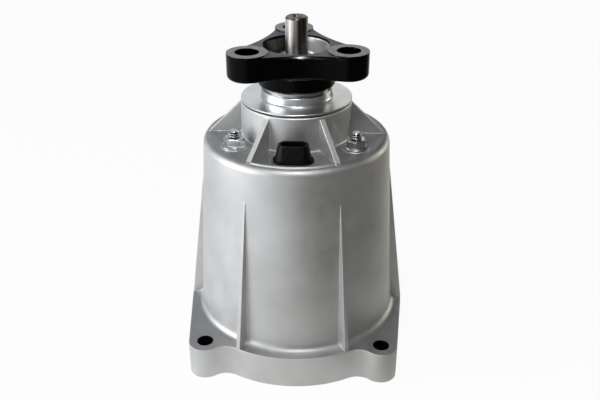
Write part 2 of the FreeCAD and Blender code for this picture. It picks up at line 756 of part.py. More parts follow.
def stud_nuts():
    """Three hexagon nuts on round flanges."""
    body = new_body("stud_nuts")
    flange = new_sketch(body, "NutFlange", "XY_Plane", nut_seat)
    head = new_sketch(body, "NutHead", "XY_Plane", nut_seat)
    for (x, y), turn in zip(stud_places, nut_turns):
        draw_circle(flange, x, y, nut_flange)
        draw_circle(flange, x, y, stud_radius + fit)
        hexagon(head, x, y, nut_hex, turn)
        draw_circle(head, x, y, stud_radius + fit)
    pad(body, flange, nut_rim)
    pad(body, head, nut_tall)


def connector_body():
    """Two-pin connector: base plate, tower with its socket, and a stem through the wall."""
    body = new_body("connector_body")
    plate_bottom = pad_top - recess_depth
    stem = new_sketch(body, "Stem", "XY_Plane", end_wall_under)
    draw_slot(stem, 0, -plug_radius, stem_width, stem_depth)
    pad(body, stem, plate_bottom - end_wall_under)
    plate = new_sketch(body, "Plate", "XY_Plane", plate_bottom)
    draw_slot(plate, 0, -plug_radius, plate_width, plate_depth)
    pad(body, plate, plate_thickness)
    foot = new_sketch(body, "TowerFoot", "XY_Plane", plate_bottom)
    draw_slot(foot, 0, -plug_radius, tower_width + tower_flare * 2, tower_depth + tower_slope * 2)
    head = new_sketch(body, "TowerHead", "XY_Plane", pad_top + tower_height)
    draw_slot(head, 0, -plug_radius, tower_width, tower_depth)
    loft(body, foot, head)
    socket = new_sketch(body, "Socket", "XY_Plane", pad_top + tower_height)
    draw_slot(socket, 0, -plug_radius, tower_width - tower_wall * 2, tower_depth - tower_wall * 2)
    pocket(body, socket, tower_height - tower_floor)
    blades = new_sketch(body, "BladeSlots", "XY_Plane", pad_top + tower_floor)
    draw_blades(blades, fit)
    pocket(body, blades, tower_floor + pad_top - end_wall_under)


def draw_blades(sketch, margin):
    """Sections of the two terminals."""
    for side in (-0.5, 0.5):
        x = blade_spacing * side
        wide = blade_width / 2 + margin
        deep = blade_thickness / 2 + margin
        draw_box(sketch, x - wide, -plug_radius - deep, x + wide, deep - plug_radius)


def connector_terminals():
    body = new_body("connector_terminals")
    section = new_sketch(body, "Blades", "XY_Plane", end_wall_under + fit)
    draw_blades(section, 0)
    pad(body, section, blade_length)


def connector_seal():
    """Rubber ring between the stem and the wall."""
    body = new_body("connector_seal")
    section = new_sketch(body, "Ring", "XY_Plane", end_wall_under + fit)
    draw_slot(section, 0, -plug_radius, hole_width - fit * 2, hole_depth - fit * 2)
    draw_slot(section, 0, -plug_radius, stem_width + fit * 2, stem_depth + fit * 2)
    pad(body, section, end_wall / 2)


def oil_seal():
    """Seal in the nose: metal case, rubber lip and garter spring."""
    outside = bearing_outside - fit
    turned("oil_seal_case", [
        (outside - seal_metal, seal_bottom), (outside, seal_bottom), (outside, seal_top),
        (journal_radius + seal_metal * 3, seal_top), (journal_radius + seal_metal * 3, seal_top - seal_metal),
        (outside - seal_metal, seal_top - seal_metal),
    ])
    lip_back = journal_radius + seal_metal * 4
    spring_height = seal_bottom + seal_width * 0.4
    turned("oil_seal_lip", [
        (journal_radius + running, spring_height), (journal_radius + garter_radius * 2, seal_bottom),
        (journal_radius + garter_radius * 3, seal_bottom),
        (journal_radius + garter_radius * 2, spring_height),
        (journal_radius + seal_metal * 2, seal_top - seal_metal * 2),
        (lip_back, seal_top - seal_metal * 2), (lip_back, seal_top - seal_metal - fit),
        (journal_radius + seal_metal * 3 - fit, seal_top - seal_metal - fit),
        (journal_radius + seal_metal * 3 - fit, seal_top - fit), (journal_radius + running, seal_top - fit),
        (journal_radius + seal_metal, seal_top - seal_metal * 2),
    ])
    body = new_body("oil_seal_spring")
    section = new_sketch(body, "Wire", "XZ_Plane")
    hexagon(section, journal_radius + garter_radius * 3.2, spring_height, garter_radius * 1.9)
    revolve(body, section)


def front_bearing():
    """Ribbed roller bearing between the nose and the shaft."""
    outside = bearing_outside - fit
    turned("front_bearing_outer_ring", [
        (race_outer - race_rib + free, bearing_seat), (outside, bearing_seat),
        (outside, bearing_top), (race_outer - race_rib + free, bearing_top),
        (race_outer - race_rib + free, rib_high), (race_outer + free, rib_high),
        (race_outer + free, rib_low), (race_outer - race_rib + free, rib_low),
    ])
    inside = bearing_bore + fit
    turned("front_bearing_inner_ring", [
        (inside, bearing_seat), (race_inner + race_rib - free, bearing_seat),
        (race_inner + race_rib - free, rib_low), (race_inner - free, rib_low),
        (race_inner - free, rib_high), (race_inner + race_rib - free, rib_high),
        (race_inner + race_rib - free, bearing_top), (inside, bearing_top),
    ])
    rollers("front_bearing_rollers", race_inner + roller_radius, roller_radius, roller_count,
            bearing_seat + (bearing_width - roller_length) / 2, roller_length)
    middle = race_inner + roller_radius
    end_gap = race_rib + free
    cage = turned("front_bearing_cage", ring(middle - cage_wall / 2, middle + cage_wall / 2,
                                             bearing_seat + end_gap / 2, bearing_top - end_gap / 2))
    window = new_sketch(cage, "Window", "XY_Plane", rib_high - free / 4)
    draw_circle(window, middle, 0, roller_radius + fit)
    around(cage, [pocket(cage, window, roller_length + free / 2)], roller_count)


def rollers(label, circle, radius, count, bottom, length):
    """A ring of separate cylindrical rollers."""
    body = new_body(label)
    section = new_sketch(body, "Roller", "XY_Plane", bottom)
    draw_circle(section, circle, 0, radius)
    around(body, [pad(body, section, length)], count)


def bearing_circlip():
    """Open spring ring above the bearing."""
    groove = bearing_outside + circlip_depth - fit
    clip = turned("bearing_circlip", ring(circlip_inside, groove, bearing_top + fit, circlip_top - fit))
    gap = new_sketch(clip, "Opening", "XY_Plane", circlip_top + 1)
    draw_box(gap, 0, -circlip_gap / 2, groove + 1, circlip_gap / 2)
    pocket(clip, gap, circlip_width + 2)


def input_flange():
    """Three-arm flange with its hub, which takes the deflector and the oil seal."""
    body = new_body("input_flange")
    arm = new_sketch(body, "Arms", "XY_Plane", flange_bottom)
    places = [(arm_radius * cosine(turn), arm_radius * sine(turn)) for turn in (90, 210, 330)]
    draw_discs(arm, [(x, y, boss_radius, arm_hollow) for x, y in places])
    plate = pad(body, arm, flange_thickness)
    doc.recompute()
    lower = soften(body, "Fillet", plate, edges_at(plate.Shape, number(flange_bottom), 0, 100), flange_round)
    doc.recompute()
    soften(body, "Chamfer", lower, edges_at(lower.Shape, number(flange_top), 0, 100), flange_edge)
    boss = new_sketch(body, "Boss", "XY_Plane", flange_top - flange_edge)
    draw_circle(boss, 0, arm_radius, boss_radius)
    around(body, [pad(body, boss, boss_rise + flange_edge)], arm_count)
    hub = new_sketch(body, "Hub", "XZ_Plane")
    draw_polygon(hub, [
        (0, bearing_top), (journal_radius - cast_round, bearing_top),
        (journal_radius, bearing_top + cast_round), (journal_radius, deflector_under),
        (hub_land, deflector_under), (hub_land, hub_land_end), (hub_radius, hub_land_end + hub_shoulder),
        (hub_radius, pocket_floor), (0, pocket_floor),
    ])
    revolve(body, hub)
    hollow = new_sketch(body, "NutPocket", "XZ_Plane")
    draw_polygon(hollow, [
        (0, pocket_floor), (pocket_radius - cast_round, pocket_floor),
        (pocket_radius, pocket_floor + cast_round), (pocket_radius, flange_top - flange_edge),
        (pocket_radius + flange_edge * 2, flange_top + flange_edge), (0, flange_top + flange_edge),
    ])
    revolve(body, hollow, cut=True)
    bore = new_sketch(body, "Bore", "XY_Plane", pocket_floor + 1)
    draw_circle(bore, 0, 0, thread_radius + fit)
    pocket(body, bore, pocket_floor - bearing_top + 2)
    seat = new_sketch(body, "DriveBore", "XY_Plane", bearing_top)
    draw_circle(seat, 0, 0, drive_radius - drive_depth + fit)
    pocket(body, seat, drive_top - bearing_top + fit, upward=True)
    groove = new_sketch(body, "DriveGroove", "XY_Plane", bearing_top)
    draw_tooth(groove, drive_radius - drive_depth - fit, drive_radius + fit, drive_teeth, fit)
    around(body, [pocket(body, groove, drive_top - bearing_top + fit, upward=True)], drive_teeth)
    hole = new_sketch(body, "BossHole", "XY_Plane", boss_top + 1)
    draw_circle(hole, 0, arm_radius, boss_hole)
    around(body, [pocket(body, hole, flange_thickness + boss_rise + 2)], arm_count)
    stand_turned(body)


def stand_turned(body):
    """Turns a piece to the angle at which the flange stands, so that its spline meets the shaft's."""
    body.Placement = FreeCAD.Placement(Vector(), FreeCAD.Rotation(Vector(0, 0, 1), number(flange_turn)))
    bind(body, "Placement.Rotation.Angle", flange_turn)


def draw_tooth(sketch, low, high, teeth, margin):
    """Plan of one spline tooth on +X, about half a pitch wide and narrower at its tip."""
    foot = low * math.pi / teeth / 2 + margin
    tip = foot * 0.7
    draw_polygon(sketch, [(low, -foot), (high, -tip), (high, tip), (low, foot)])


def input_shaft():
    """Shaft with centring pin, thread, spline, bearing seat and the inner pole disc."""
    drive_foot = drive_radius - drive_depth
    body = turned("input_shaft", [
        (0, cover_bottom), (pole_inner, cover_bottom), (pole_inner, cover_top),
        (shaft_waist, cover_top), (shaft_waist, bearing_seat),
        (bearing_bore, bearing_seat), (bearing_bore, bearing_top - fit), (drive_foot, bearing_top - fit),
        (drive_foot, drive_top), (thread_radius, drive_top), (thread_radius, nut_top + cast_round),
        (pin_radius, nut_top + cast_round), (pin_radius, pin_top - pin_chamfer),
        (pin_radius - pin_chamfer, pin_top), (centre_hole, pin_top), (0, pin_top - centre_hole * 1.7),
    ])
    tooth = new_sketch(body, "DriveTooth", "XY_Plane", bearing_top + fit)
    draw_tooth(tooth, drive_foot - fit, drive_radius, drive_teeth, 0)
    around(body, [pad(body, tooth, drive_top - bearing_top - fit * 2)], drive_teeth)
    recess = new_sketch(body, "SpigotBore", "XY_Plane", cover_bottom)
    draw_circle(recess, 0, 0, bush_outside + fit)
    pocket(body, recess, spigot_length + fit, upward=True)
    stand_turned(body)


def flange_nut():
    """Hexagon nut in the flange's pocket."""
    body = new_body("flange_nut")
    section = new_sketch(body, "Hexagon", "XY_Plane", pocket_floor)
    hexagon(section, 0, 0, nut_flats)
    draw_circle(section, 0, 0, thread_radius + fit)
    pad(body, section, nut_height)
    bevel = new_sketch(body, "Bevel", "XZ_Plane")
    edge = nut_flats / 2
    draw_polygon(bevel, [
        (edge, nut_top + 0.01), (edge * 1.3, nut_top - edge * 0.15), (edge * 1.3, nut_top + 0.01),
    ])
    revolve(body, bevel, cut=True)


def dust_deflector():
    """Plated sheet disc with a collar pressed on the hub."""
    inside = hub_land + fit
    outside = inside + deflector_wall
    turned("dust_deflector", [
        (inside, deflector_under), (deflector_radius, deflector_under), (deflector_radius, deflector_face),
        (outside + deflector_bend, deflector_face),
        (outside + deflector_bend * 0.3, deflector_face + deflector_bend * 0.3),
        (outside, deflector_face + deflector_bend), (outside, deflector_top), (inside, deflector_top),
    ])


def clutch_cover():
    """Non-magnetic ring and outer pole ring round the shaft's disc."""
    break_outside = pole_inner + break_width
    turned("magnet_break_ring", ring(pole_inner + fit, break_outside, cover_bottom, cover_top))
    outside = cover_seat - fit
    groove = cover_bottom + cover_thickness / 2
    half = seal_ring + fit
    turned("pole_plate", [
        (break_outside + fit, cover_bottom), (outside, cover_bottom), (outside, groove - half),
        (outside - half * 2, groove - half), (outside - half * 2, groove + half),
        (outside, groove + half), (outside, cover_top), (break_outside + fit, cover_top),
    ])
    turned("cover_seal_ring", ring(outside - half * 2 + fit, outside, groove - seal_ring, groove + seal_ring))


def plate_stack(label, inside, outside, lugs, bottom, thick, space=0, count=1):
    """Flat plates one above another, cut apart from one sleeve. Lugs reach from the first to the
    second radius of the pair, outward or inward."""
    body = new_body(label)
    height = thick * count + space * (count - 1)
    plan = new_sketch(body, "Plate", "XY_Plane", bottom)
    draw_circle(plan, 0, 0, outside)
    draw_circle(plan, 0, 0, inside)
    pad(body, plan, height)
    lug = new_sketch(body, "Lug", "XY_Plane", bottom)
    draw_box(lug, lugs[0], -lug_width / 2, lugs[1], lug_width / 2)
    around(body, [pad(body, lug, height)], lug_count)
    if number(count) > 1:
        gap = new_sketch(body, "Space", "XZ_Plane")
        reach = drum_groove * 2
        draw_box(gap, inside - reach, bottom + thick, outside + reach, bottom + thick + space)
        stack(body, revolve(body, gap, cut=True), count - 1, thick + space)


# Heights and radii of the clutch
pilot_pitch = pilot_thick + pilot_gap
pilot_bottom = cover_bottom - pilot_pitch
armature_bottom = pilot_bottom - pilot_pitch * 2 - pilot_gap - armature_travel - armature_thick
washer_bottom = cover_bottom - washer_thick - fit
cam_top = washer_bottom - free / 2
ramp_slope = ramp_depth / ramp_length
ball_rise = ball_radius * root(ramp_slope * ramp_slope + 1) + fit
ball_height = pilot_cam_bottom + ramp_depth - ball_rise
main_cam_top = ball_height - ball_rise + ramp_depth
main_cam_bottom = main_cam_top - main_cam_thick
plate_pitch = plate_thick + plate_gap
pack_bottom = drum_floor_top + plate_gap
pack_top = pack_bottom + plate_pitch * (outer_plates * 2 - 1) - plate_gap
needle_circle = hub_neck + free + needle_radius
shell_bore = needle_circle + needle_radius + free
shell_outside = shell_bore + needle_wall
shell_top = drum_floor_top - drum_floor / 2
shell_bottom = shell_top - needle_length - needle_wall * 2 - free * 2
drum_under = drum_floor_top - drum_floor
drum_place = (drum_boss + drum_radius) / 2
plate_edge = drum_bore - free
lug_tip = drum_bore + drum_groove - free


def clutch_drum():
    """Drum with grooves for the plates, its floor, and the boss round the hub's bearing."""
    neck_hole = hub_neck + free * 2
    body = turned("clutch_drum", [
        (neck_hole, shell_top + fit), (shell_outside + fit, shell_top + fit),
        (shell_outside + fit, drum_bottom), (drum_boss, drum_bottom),
        (drum_boss, drum_under), (drum_radius - cast_round * 2, drum_under),
        (drum_radius, drum_under + cast_round * 2), (drum_radius, cover_top),
        (cover_seat, cover_top), (cover_seat, cover_bottom), (drum_bore, cover_bottom),
        (drum_bore, drum_floor_top), (neck_hole, drum_floor_top),
    ])
    groove = new_sketch(body, "PlateGroove", "XY_Plane", drum_floor_top)
    side = lug_width / 2 + free
    draw_box(groove, drum_bore - 1, -side, drum_bore + drum_groove, side)
    around(body, [pocket(body, groove, cover_bottom - drum_floor_top, upward=True)], lug_count)
    hole = new_sketch(body, "FillerHole", "XY_Plane", drum_floor_top + 1)
    draw_circle(hole, 0, drum_place, plug_shank + fit)
    pocket(body, hole, drum_floor + 2)


def filler_plug():
    """Plug with a hexagon socket in the drum's floor."""
    body = new_body("filler_plug")
    shank = new_sketch(body, "Shank", "XY_Plane", drum_under)
    draw_circle(shank, 0, drum_place, plug_shank)
    pad(body, shank, drum_floor - cast_round)
    head = new_sketch(body, "Head", "XY_Plane", drum_under - cast_round)
    draw_circle(head, 0, drum_place, plug_head)
    pad(body, head, cast_round)
    socket = new_sketch(body, "Socket", "XY_Plane", drum_under + plug_key / 2)
    hexagon(socket, 0, drum_place, plug_key)
    pocket(body, socket, plug_key / 2 + cast_round)


def main_clutch():
    """Plates of the main clutch: outer ones turn with the drum, inner ones with the hub."""
    space = plate_thick + plate_gap * 2
    plate_stack("main_outer_plates", plate_hub + inner_lug * 2, plate_edge, (plate_edge - 1, lug_tip),
                pack_bottom, plate_thick, space, outer_plates)
    plate_stack("main_inner_plates", plate_hub + free, drum_bore - inner_lug * 2,
                (plate_hub - inner_lug + free, plate_hub + 1), pack_bottom + plate_pitch, plate_thick,
                space, outer_plates - 1)


def pilot_clutch():
    """Plates of the pilot clutch and the armature that presses them."""
    plate_stack("pilot_outer_plates", pilot_cam_radius + inner_lug, plate_edge, (plate_edge - 1, lug_tip),
                pilot_bottom - pilot_pitch * 2, pilot_thick, pilot_thick + pilot_gap * 2, Size(2, "2"))
    plate_stack("pilot_inner_plate", pilot_cam_radius + free, drum_bore - inner_lug * 2,
                (pilot_cam_radius - inner_lug + free, pilot_cam_radius + 1),
                pilot_bottom - pilot_pitch, pilot_thick)
    plate_stack("armature_plate", pilot_cam_radius + inner_lug, plate_edge, (plate_edge - 1, lug_tip),
                armature_bottom, armature_thick)


def ramps(body, face, down):
    """Troughs for the balls, deepest in their middle."""
    trough = new_sketch(body, "Ramp", "XZ_Plane", -ball_circle)
    bottom = face - ramp_depth if down else face + ramp_depth
    draw_polygon(trough, [(-ramp_length, face), (0, bottom), (ramp_length, face)])
    around(body, [pocket(body, trough, ramp_width, middle=True)], ball_count)


def cam():
    """Pilot cam, balls and main cam, which turns a twist into a push on the plates."""
    body = turned("pilot_cam", ring(cam_seat + running, pilot_cam_radius, pilot_cam_bottom, cam_top))
    ramps(body, pilot_cam_bottom, down=False)
    groove = new_sketch(body, "PlateGroove", "XY_Plane", pilot_bottom - pilot_pitch - pilot_gap)
    side = lug_width / 2 + free
    draw_box(groove, pilot_cam_radius - inner_lug, -side, pilot_cam_radius + 1, side)
    around(body, [pocket(body, groove, pilot_bottom, upward=True)], lug_count)

    balls = new_body("cam_balls")
    half = new_sketch(balls, "Ball", "YZ_Plane")
    draw_half_disc(half, ball_circle, ball_height, ball_radius)
    ball = balls.newObject("PartDesign::Revolution", "BallRound")
    ball.Profile = half
    ball.ReferenceAxis = (half, ["Edge2"])
    ball.Angle = 360
    around(balls, [ball], ball_count)

    body = turned("main_cam", ring(cam_seat + running, main_cam_radius, main_cam_bottom, main_cam_top))
    ramps(body, main_cam_top, down=True)
    keyway = new_sketch(body, "Keyway", "XY_Plane", main_cam_top + 1)
    draw_box(keyway, cam_seat - 1, -key_width / 2 - fit, cam_seat + cam_key + fit, key_width / 2 + fit)
    around(body, [pocket(body, keyway, main_cam_thick + 2)], key_count)


def draw_half_disc(sketch, x, y, radius):
    """Right half of a disc, closed by an upright line."""
    centre = Vector(number(x), number(y), 0)
    reach = Vector(0, number(radius), 0)
    arc, first, last = arc_between(sketch, centre - reach, centre + reach, centre, True)
    line = sketch.addGeometry(Part.LineSegment(centre + reach, centre - reach), False)
    constrain(sketch, "Coincident", arc, last, line, 1)
    constrain(sketch, "Coincident", line, 2, arc, first)
    constrain(sketch, "Vertical", line)
    constrain(sketch, "PointOnObject", arc, 3, line)
    constrain(sketch, "Radius", arc, radius)
    pin_point(sketch, arc, 3, x, y)


def hub_support():
    """Washer, bush, needle bearing and seal round the output hub."""
    turned("thrust_washer", ring(bush_outside + 1, pole_inner - 3, washer_bottom, cover_bottom - fit))
    spigot_top = cover_bottom + spigot_length
    turned("hub_bush", ring(spigot_radius + running, bush_outside, cover_bottom, spigot_top))
    lip = needle_wall
    turned("needle_shell", [
        (needle_circle - lip, shell_bottom), (shell_outside, shell_bottom), (shell_outside, shell_top),
        (needle_circle - lip, shell_top), (needle_circle - lip, shell_top - lip),
        (shell_bore, shell_top - lip), (shell_bore, shell_bottom + lip),
        (needle_circle - lip, shell_bottom + lip),
    ])
    needle_low = shell_bottom + lip + free
    rollers("hub_needles", needle_circle, needle_radius, needle_count, needle_low, needle_length)
    cage = turned("needle_cage", ring(needle_circle - free * 2, needle_circle + free * 2,
                                      shell_bottom + lip + free / 2, shell_top - lip - free / 2))
    window = new_sketch(cage, "Window", "XY_Plane", shell_top - lip - free + fit)
    draw_circle(window, needle_circle, 0, needle_radius + fit)
    around(cage, [pocket(cage, window, needle_length + fit * 2)], needle_count)
    turned("hub_seal", [
        (hub_neck + running, drum_bottom + fit), (shell_outside, drum_bottom + fit),
        (shell_outside, drum_bottom + hub_seal_width),
        (shell_outside - lip * 1.5, drum_bottom + hub_seal_width),
        (shell_outside - lip * 1.5, drum_bottom + lip * 2), (hub_neck + lip * 1.5, drum_bottom + lip * 2),
        (hub_neck + lip * 1.5, drum_bottom + hub_seal_width * 0.8),
        (hub_neck + running, drum_bottom + hub_seal_width * 0.6), (hub_neck + lip, drum_bottom + lip),
    ])


def output_hub():
    """Hub that takes the inner plates outside and the pinion shaft's spline inside."""
    body = turned("output_hub", [
        (pinion_pilot, hub_bottom), (hub_neck, hub_bottom), (hub_neck, pack_bottom),
        (plate_hub, pack_bottom), (plate_hub, pack_top), (cam_seat, pack_top),
        (cam_seat, cam_top), (spigot_radius, cam_top), (spigot_radius, cover_bottom + spigot_length - free),
        (0, cover_bottom + spigot_length - free), (0, spline_top), (pinion_minor, spline_top),
        (pinion_minor, hub_bottom + pinion_lead), (pinion_pilot, hub_bottom + pinion_lead),
    ])
    groove = new_sketch(body, "PlateGroove", "XY_Plane", pack_bottom)
    side = lug_width / 2 + free
    draw_box(groove, plate_hub - inner_lug, -side, plate_hub + 1, side)
    around(body, [pocket(body, groove, pack_top - pack_bottom, upward=True)], lug_count)
    key = new_sketch(body, "Key", "XY_Plane", pack_top)
    draw_box(key, cam_seat - 1, -key_width / 2, cam_seat + cam_key, key_width / 2)
    around(body, [pad(body, key, main_cam_top - pack_top)], key_count)
    tooth = new_sketch(body, "PinionGroove", "XY_Plane", hub_bottom + pinion_lead)
    draw_tooth(tooth, pinion_minor - running, pinion_minor + pinion_depth, pinion_teeth, 0)
    around(body, [pocket(body, tooth, spline_top - hub_bottom - pinion_lead, upward=True)], pinion_teeth)


# Building, checking and writing the pieces
bell_housing()
magnet_yoke()
magnet_coil()
magnet_lead()
magnet_studs()
stud_nuts()
connector_body()
connector_terminals()
connector_seal()
oil_seal()
front_bearing()
bearing_circlip()
input_flange()
input_shaft()
flange_nut()
dust_deflector()
clutch_cover()
clutch_drum()
filler_plug()
main_clutch()
pilot_clutch()
cam()
hub_support()
output_hub()
doc.recompute()

for item in doc.Objects:
    if {"Invalid", "Error"} & set(item.State):
        raise RuntimeError(f"{item.Name} of {item.getParentGeoFeatureGroup()} has state {item.State}")

os.makedirs("parts", exist_ok=True)
for body in bodies:
    if body.Shape.isNull() or not body.Shape.isValid():
        raise RuntimeError(f"{body.Label} has no valid shape")
    body.Shape.exportStep(f"parts/{body.Label}.step")
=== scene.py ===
import math

import bmesh
import bpy
from bpy.props import FloatProperty, FloatVectorProperty, PointerProperty, StringProperty
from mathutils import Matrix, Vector


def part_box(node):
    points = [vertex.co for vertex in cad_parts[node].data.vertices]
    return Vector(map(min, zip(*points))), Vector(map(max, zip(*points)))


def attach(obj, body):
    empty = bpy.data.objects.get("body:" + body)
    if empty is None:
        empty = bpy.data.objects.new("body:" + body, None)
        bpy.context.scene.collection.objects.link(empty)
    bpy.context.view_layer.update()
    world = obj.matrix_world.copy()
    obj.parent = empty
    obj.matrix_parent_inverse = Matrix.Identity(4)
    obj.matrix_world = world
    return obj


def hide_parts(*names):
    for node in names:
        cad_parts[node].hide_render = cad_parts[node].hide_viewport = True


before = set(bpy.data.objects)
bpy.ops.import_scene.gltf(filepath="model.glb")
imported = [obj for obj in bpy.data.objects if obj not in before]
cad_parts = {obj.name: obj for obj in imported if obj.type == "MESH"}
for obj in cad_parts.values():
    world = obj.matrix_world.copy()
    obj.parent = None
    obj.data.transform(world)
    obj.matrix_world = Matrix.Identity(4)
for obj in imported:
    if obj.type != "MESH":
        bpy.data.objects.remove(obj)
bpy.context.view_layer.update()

bl_info = {
    "name": "All-wheel-drive coupling",
    "version": (1, 0, 0),
    "blender": (4, 5, 0),
    "location": "View3D > Sidebar > Coupling",
    "description": "Dresses the packed coupling with its finishes, threads and moulded details",
    "category": "Object",
}

MM = 0.001


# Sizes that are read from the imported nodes
def low(name):
    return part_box(name)[0]


def high(name):
    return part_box(name)[1]


NOSE_TOP = high("bell_housing").z
BOSS_TOP = high("input_flange").z
PIN_TOP = high("input_shaft").z
DEFLECTOR_LOW = low("dust_deflector").z
DEFLECTOR_TOP = high("dust_deflector").z
DEFLECTOR_OUTSIDE = high("dust_deflector").x
STUD_LOW = low("magnet_studs").z
STUD_HIGH = high("magnet_studs").z
NUT_SEAT = low("stud_nuts").z
TOWER_HIGH = high("connector_body").z
PLUG_Y = (low("connector_body").y + high("connector_body").y) / 2

# Heights, radii and places where one finish, or a painted highlight or shade, ends and the next
# begins
NOSE_RIM = NOSE_TOP - 0.1 * MM
BASE_FACE = 0.1 * MM
# The painted highlight on the backs of the ribs begins above this height
RIB_FOOT = NUT_SEAT + 0.3 * MM
BOSS_FACE = BOSS_TOP - 0.3 * MM
WEB_FACE = BOSS_TOP - 2 * MM
POCKET_FLOOR = BOSS_TOP - 17 * MM
POCKET_RADIUS = 21.9 * MM
LAND_TOP = DEFLECTOR_TOP + 2.4 * MM
PIN_END = PIN_TOP - 1.1 * MM
EAR_HOLE = (62.5 * MM, 63.5 * MM, 0.0)
# Reach of the painted shade round the middle of a base hole
HOLE_SHADE_REACH = 5.8 * MM
EAR_SHADE = 9 * MM
# Between these values of X the pocket goes from painted shade on its left to painted light on its
# right, and the pin from its lit side to painted shade on its right
POCKET_SHADE_SPAN = (-4 * MM, 9 * MM)
PIN_SHADE_SPAN = (-1.6 * MM, 1.4 * MM)

# Looking up: least rise of a flat face, and middle and half width of the rises of a sloping one
FLAT_RISE = 0.95
SLOPE_RISE, SLOPE_RANGE = 0.65, 0.3
BEVEL_SAMPLES = 6
CRISP_ANGLE = math.radians(32)
LOOSE_GAP = 0.002 * MM
WELD_GAP = 0.001 * MM

# A nut's rim, slope and chamfer as shares of its height, and the chamfer's end as a share of the
# hexagon's side
NUT_RIM, NUT_SLOPE, NUT_LEAD, NUT_END = 0.13, 0.14, 0.10, 0.88
NUT_TURN = math.radians(30)
# Shares of a thread's pitch: how much shorter than its stud it is, how far it begins above the
# stud's foot, its depth, its tooth's radius and the dome's height. Then the tooth's place as a share
# of the depth, and the dome's end as a share of the root's radius
THREAD_SHORT, THREAD_FOOT, THREAD_DEPTH, TOOTH_SIZE, STUD_DOME = 1.15, 0.6, 0.5, 0.36, 0.5
TOOTH_PLACE, DOME_END = 0.52, 0.74
ROUND_SIDES, STUD_SIDES, THREAD_STEPS = 64, 40, 22

# The deflector's sheet edge, and the groove and bead of its collar, in millimetres: the groove's
# corners are steps out from the collar and up from the cove
SHEET_ROUND = 0.25
GROOVE = ((0.0, 0.12), (-0.3, 0.22), (-0.3, 0.42), (0.12, 0.6))
BEAD_REACH, BEAD_ROUND = 0.12, 0.3
COVE_STEPS, SPIN_STEPS = 8, 128

# The connector's two pairs of guide ribs and its latch ramp, in millimetres: place along X, side
# of the tower, width, and how far the foot and the head are below the tower's top
KEYS = (
    (-6.5, -1, 1.2, 9.0, 1.0), (-6.5, 1, 1.2, 9.0, 1.0),
    (6.5, -1, 1.2, 9.0, 1.0), (6.5, 1, 1.2, 9.0, 1.0),
    (0, -1, 5.0, 5.6, 3.0),
)
KEY_PLACE, KEY_DEPTH, KEY_EDGE = 5.2, 1.4, 0.15

# The camera's film, and the lamps: name, place, side, power and colour. The key lights the left
# flank, the top lamp draws the lines on shoulder and foot, the front lamp is the small highlight on
# the flange, and the rim lamp warms the right.
CAMERA_SENSOR, CAMERA_SHIFT = 36, 0.00574
FLOOR_CELLS = 8
LAMP_AIM = (0, 0, 0.12)
LAMPS = (
    ("key_lamp", (-1.6, -0.6, 0.52), 1.4, 27, (1.0, 1.0, 1.0)),
    ("top_lamp", (0.0, -0.88, 1.7), 0.36, 10, (1.0, 1.0, 1.0)),
    ("front_lamp", (0.10, -0.5, 1.65), 0.035, 1.8, (1.0, 1.0, 1.0)),
    ("rim_lamp", (1.5, 1.0, 0.5), 0.6, 5, (1.0, 0.95, 0.84)),
)

# The floor as mirrors see it, in metres: where its dark card begins and is full along X, and along
# Y on a line that slants by a share of X, and how bright the card is
CARD_RIGHT, CARD_FRONT = (-0.17, 0.09), (0.03, -0.37)
CARD_SLANT, CARD_LEVEL = -1.4, 0.06
# The share of white that the camera and mirrors get of the floor, and where it grows to all of it
FLOOR_SHARE, FLOOR_FADE = 0.92, (0.7, 2.5)
FLOOR_HUE = (-0.20, 0.30)

# The room as mirrors see it, by direction: left and right end of its side light with their levels,
# then where the white wall behind the part begins and is full
ROOM_SIDE, ROOM_LEVELS = (-0.8, 0.40), (0.42, 0.05)
WALL_BACK, WALL_TOP, WALL_SIDE, WALL_SHIFT = (0.35, 0.75), (0.66, 0.50), (0.42, 0.24), 0.12
ROOM_HUE = (-0.5, 0.4)


# Colours, nodes and materials
def linear(code):
    """The linear colour of an sRGB hex code."""
    parts = [int(code[i:i + 2], 16) / 255 for i in (1, 3, 5)]
    return [c / 12.92 if c <= 0.04045 else ((c + 0.055) / 1.055) ** 2.4 for c in parts] + [1.0]


def node(tree, kind, links=None, **settings):
    """Adds a node with its settings, and a value or a link for each named or numbered input."""
    made = tree.nodes.new(kind)
    for key, value in settings.items():
        setattr(made, key, value)
    for socket, value in (links or {}).items():
        if isinstance(value, bpy.types.NodeSocket):
            tree.links.new(value, made.inputs[socket])
        else:
            made.inputs[socket].default_value = value
    return made


def maths(tree, operation, *values):
    """The result of a Math node on its values or links."""
    return node(tree, "ShaderNodeMath", dict(enumerate(values)), operation=operation).outputs[0]


def vectors(tree, operation, *values, result="Vector"):
    """The result of a Vector Math node on its values or links."""
    made = node(tree, "ShaderNodeVectorMath", dict(enumerate(values)), operation=operation)
    return made.outputs[result]


def new_material(name, **sockets):
    """A material whose shader has the given values on its own sockets."""
    material = bpy.data.materials.new(name)
    material.use_nodes = True
    tree = material.node_tree
    shader = tree.nodes["Principled BSDF"]
    for socket, value in sockets.items():
        shader.inputs[socket.replace("_", " ")].default_value = value
    place = node(tree, "ShaderNodeTexCoord").outputs["Object"]
    return material, tree, shader, place


def wire(tree, shader, **links):
    """Links values into the sockets of a shader."""
    for socket, value in links.items():
        tree.links.new(value, shader.inputs[socket.replace("_", " ")])


def grain(tree, place, size, detail=3.0, stretch=(1, 1, 1)):
    """Noise whose blotches are about size millimetres across."""
    mapped = node(tree, "ShaderNodeMapping", {"Vector": place, "Scale": stretch})
    return node(tree, "ShaderNodeTexNoise", {
        "Vector": mapped.outputs[0], "Scale": 1 / (size * MM), "Detail": detail, "Roughness": 0.55,
    }).outputs["Fac"]


def spread(tree, value, low_end, high_end, start=0.3, stop=0.7, **settings):
    """Maps a value from start to stop onto low_end to high_end, clamped."""
    return node(tree, "ShaderNodeMapRange", {
        "Value": value, "From Min": start, "From Max": stop, "To Min": low_end, "To Max": high_end,
    }, **settings).outputs[0]


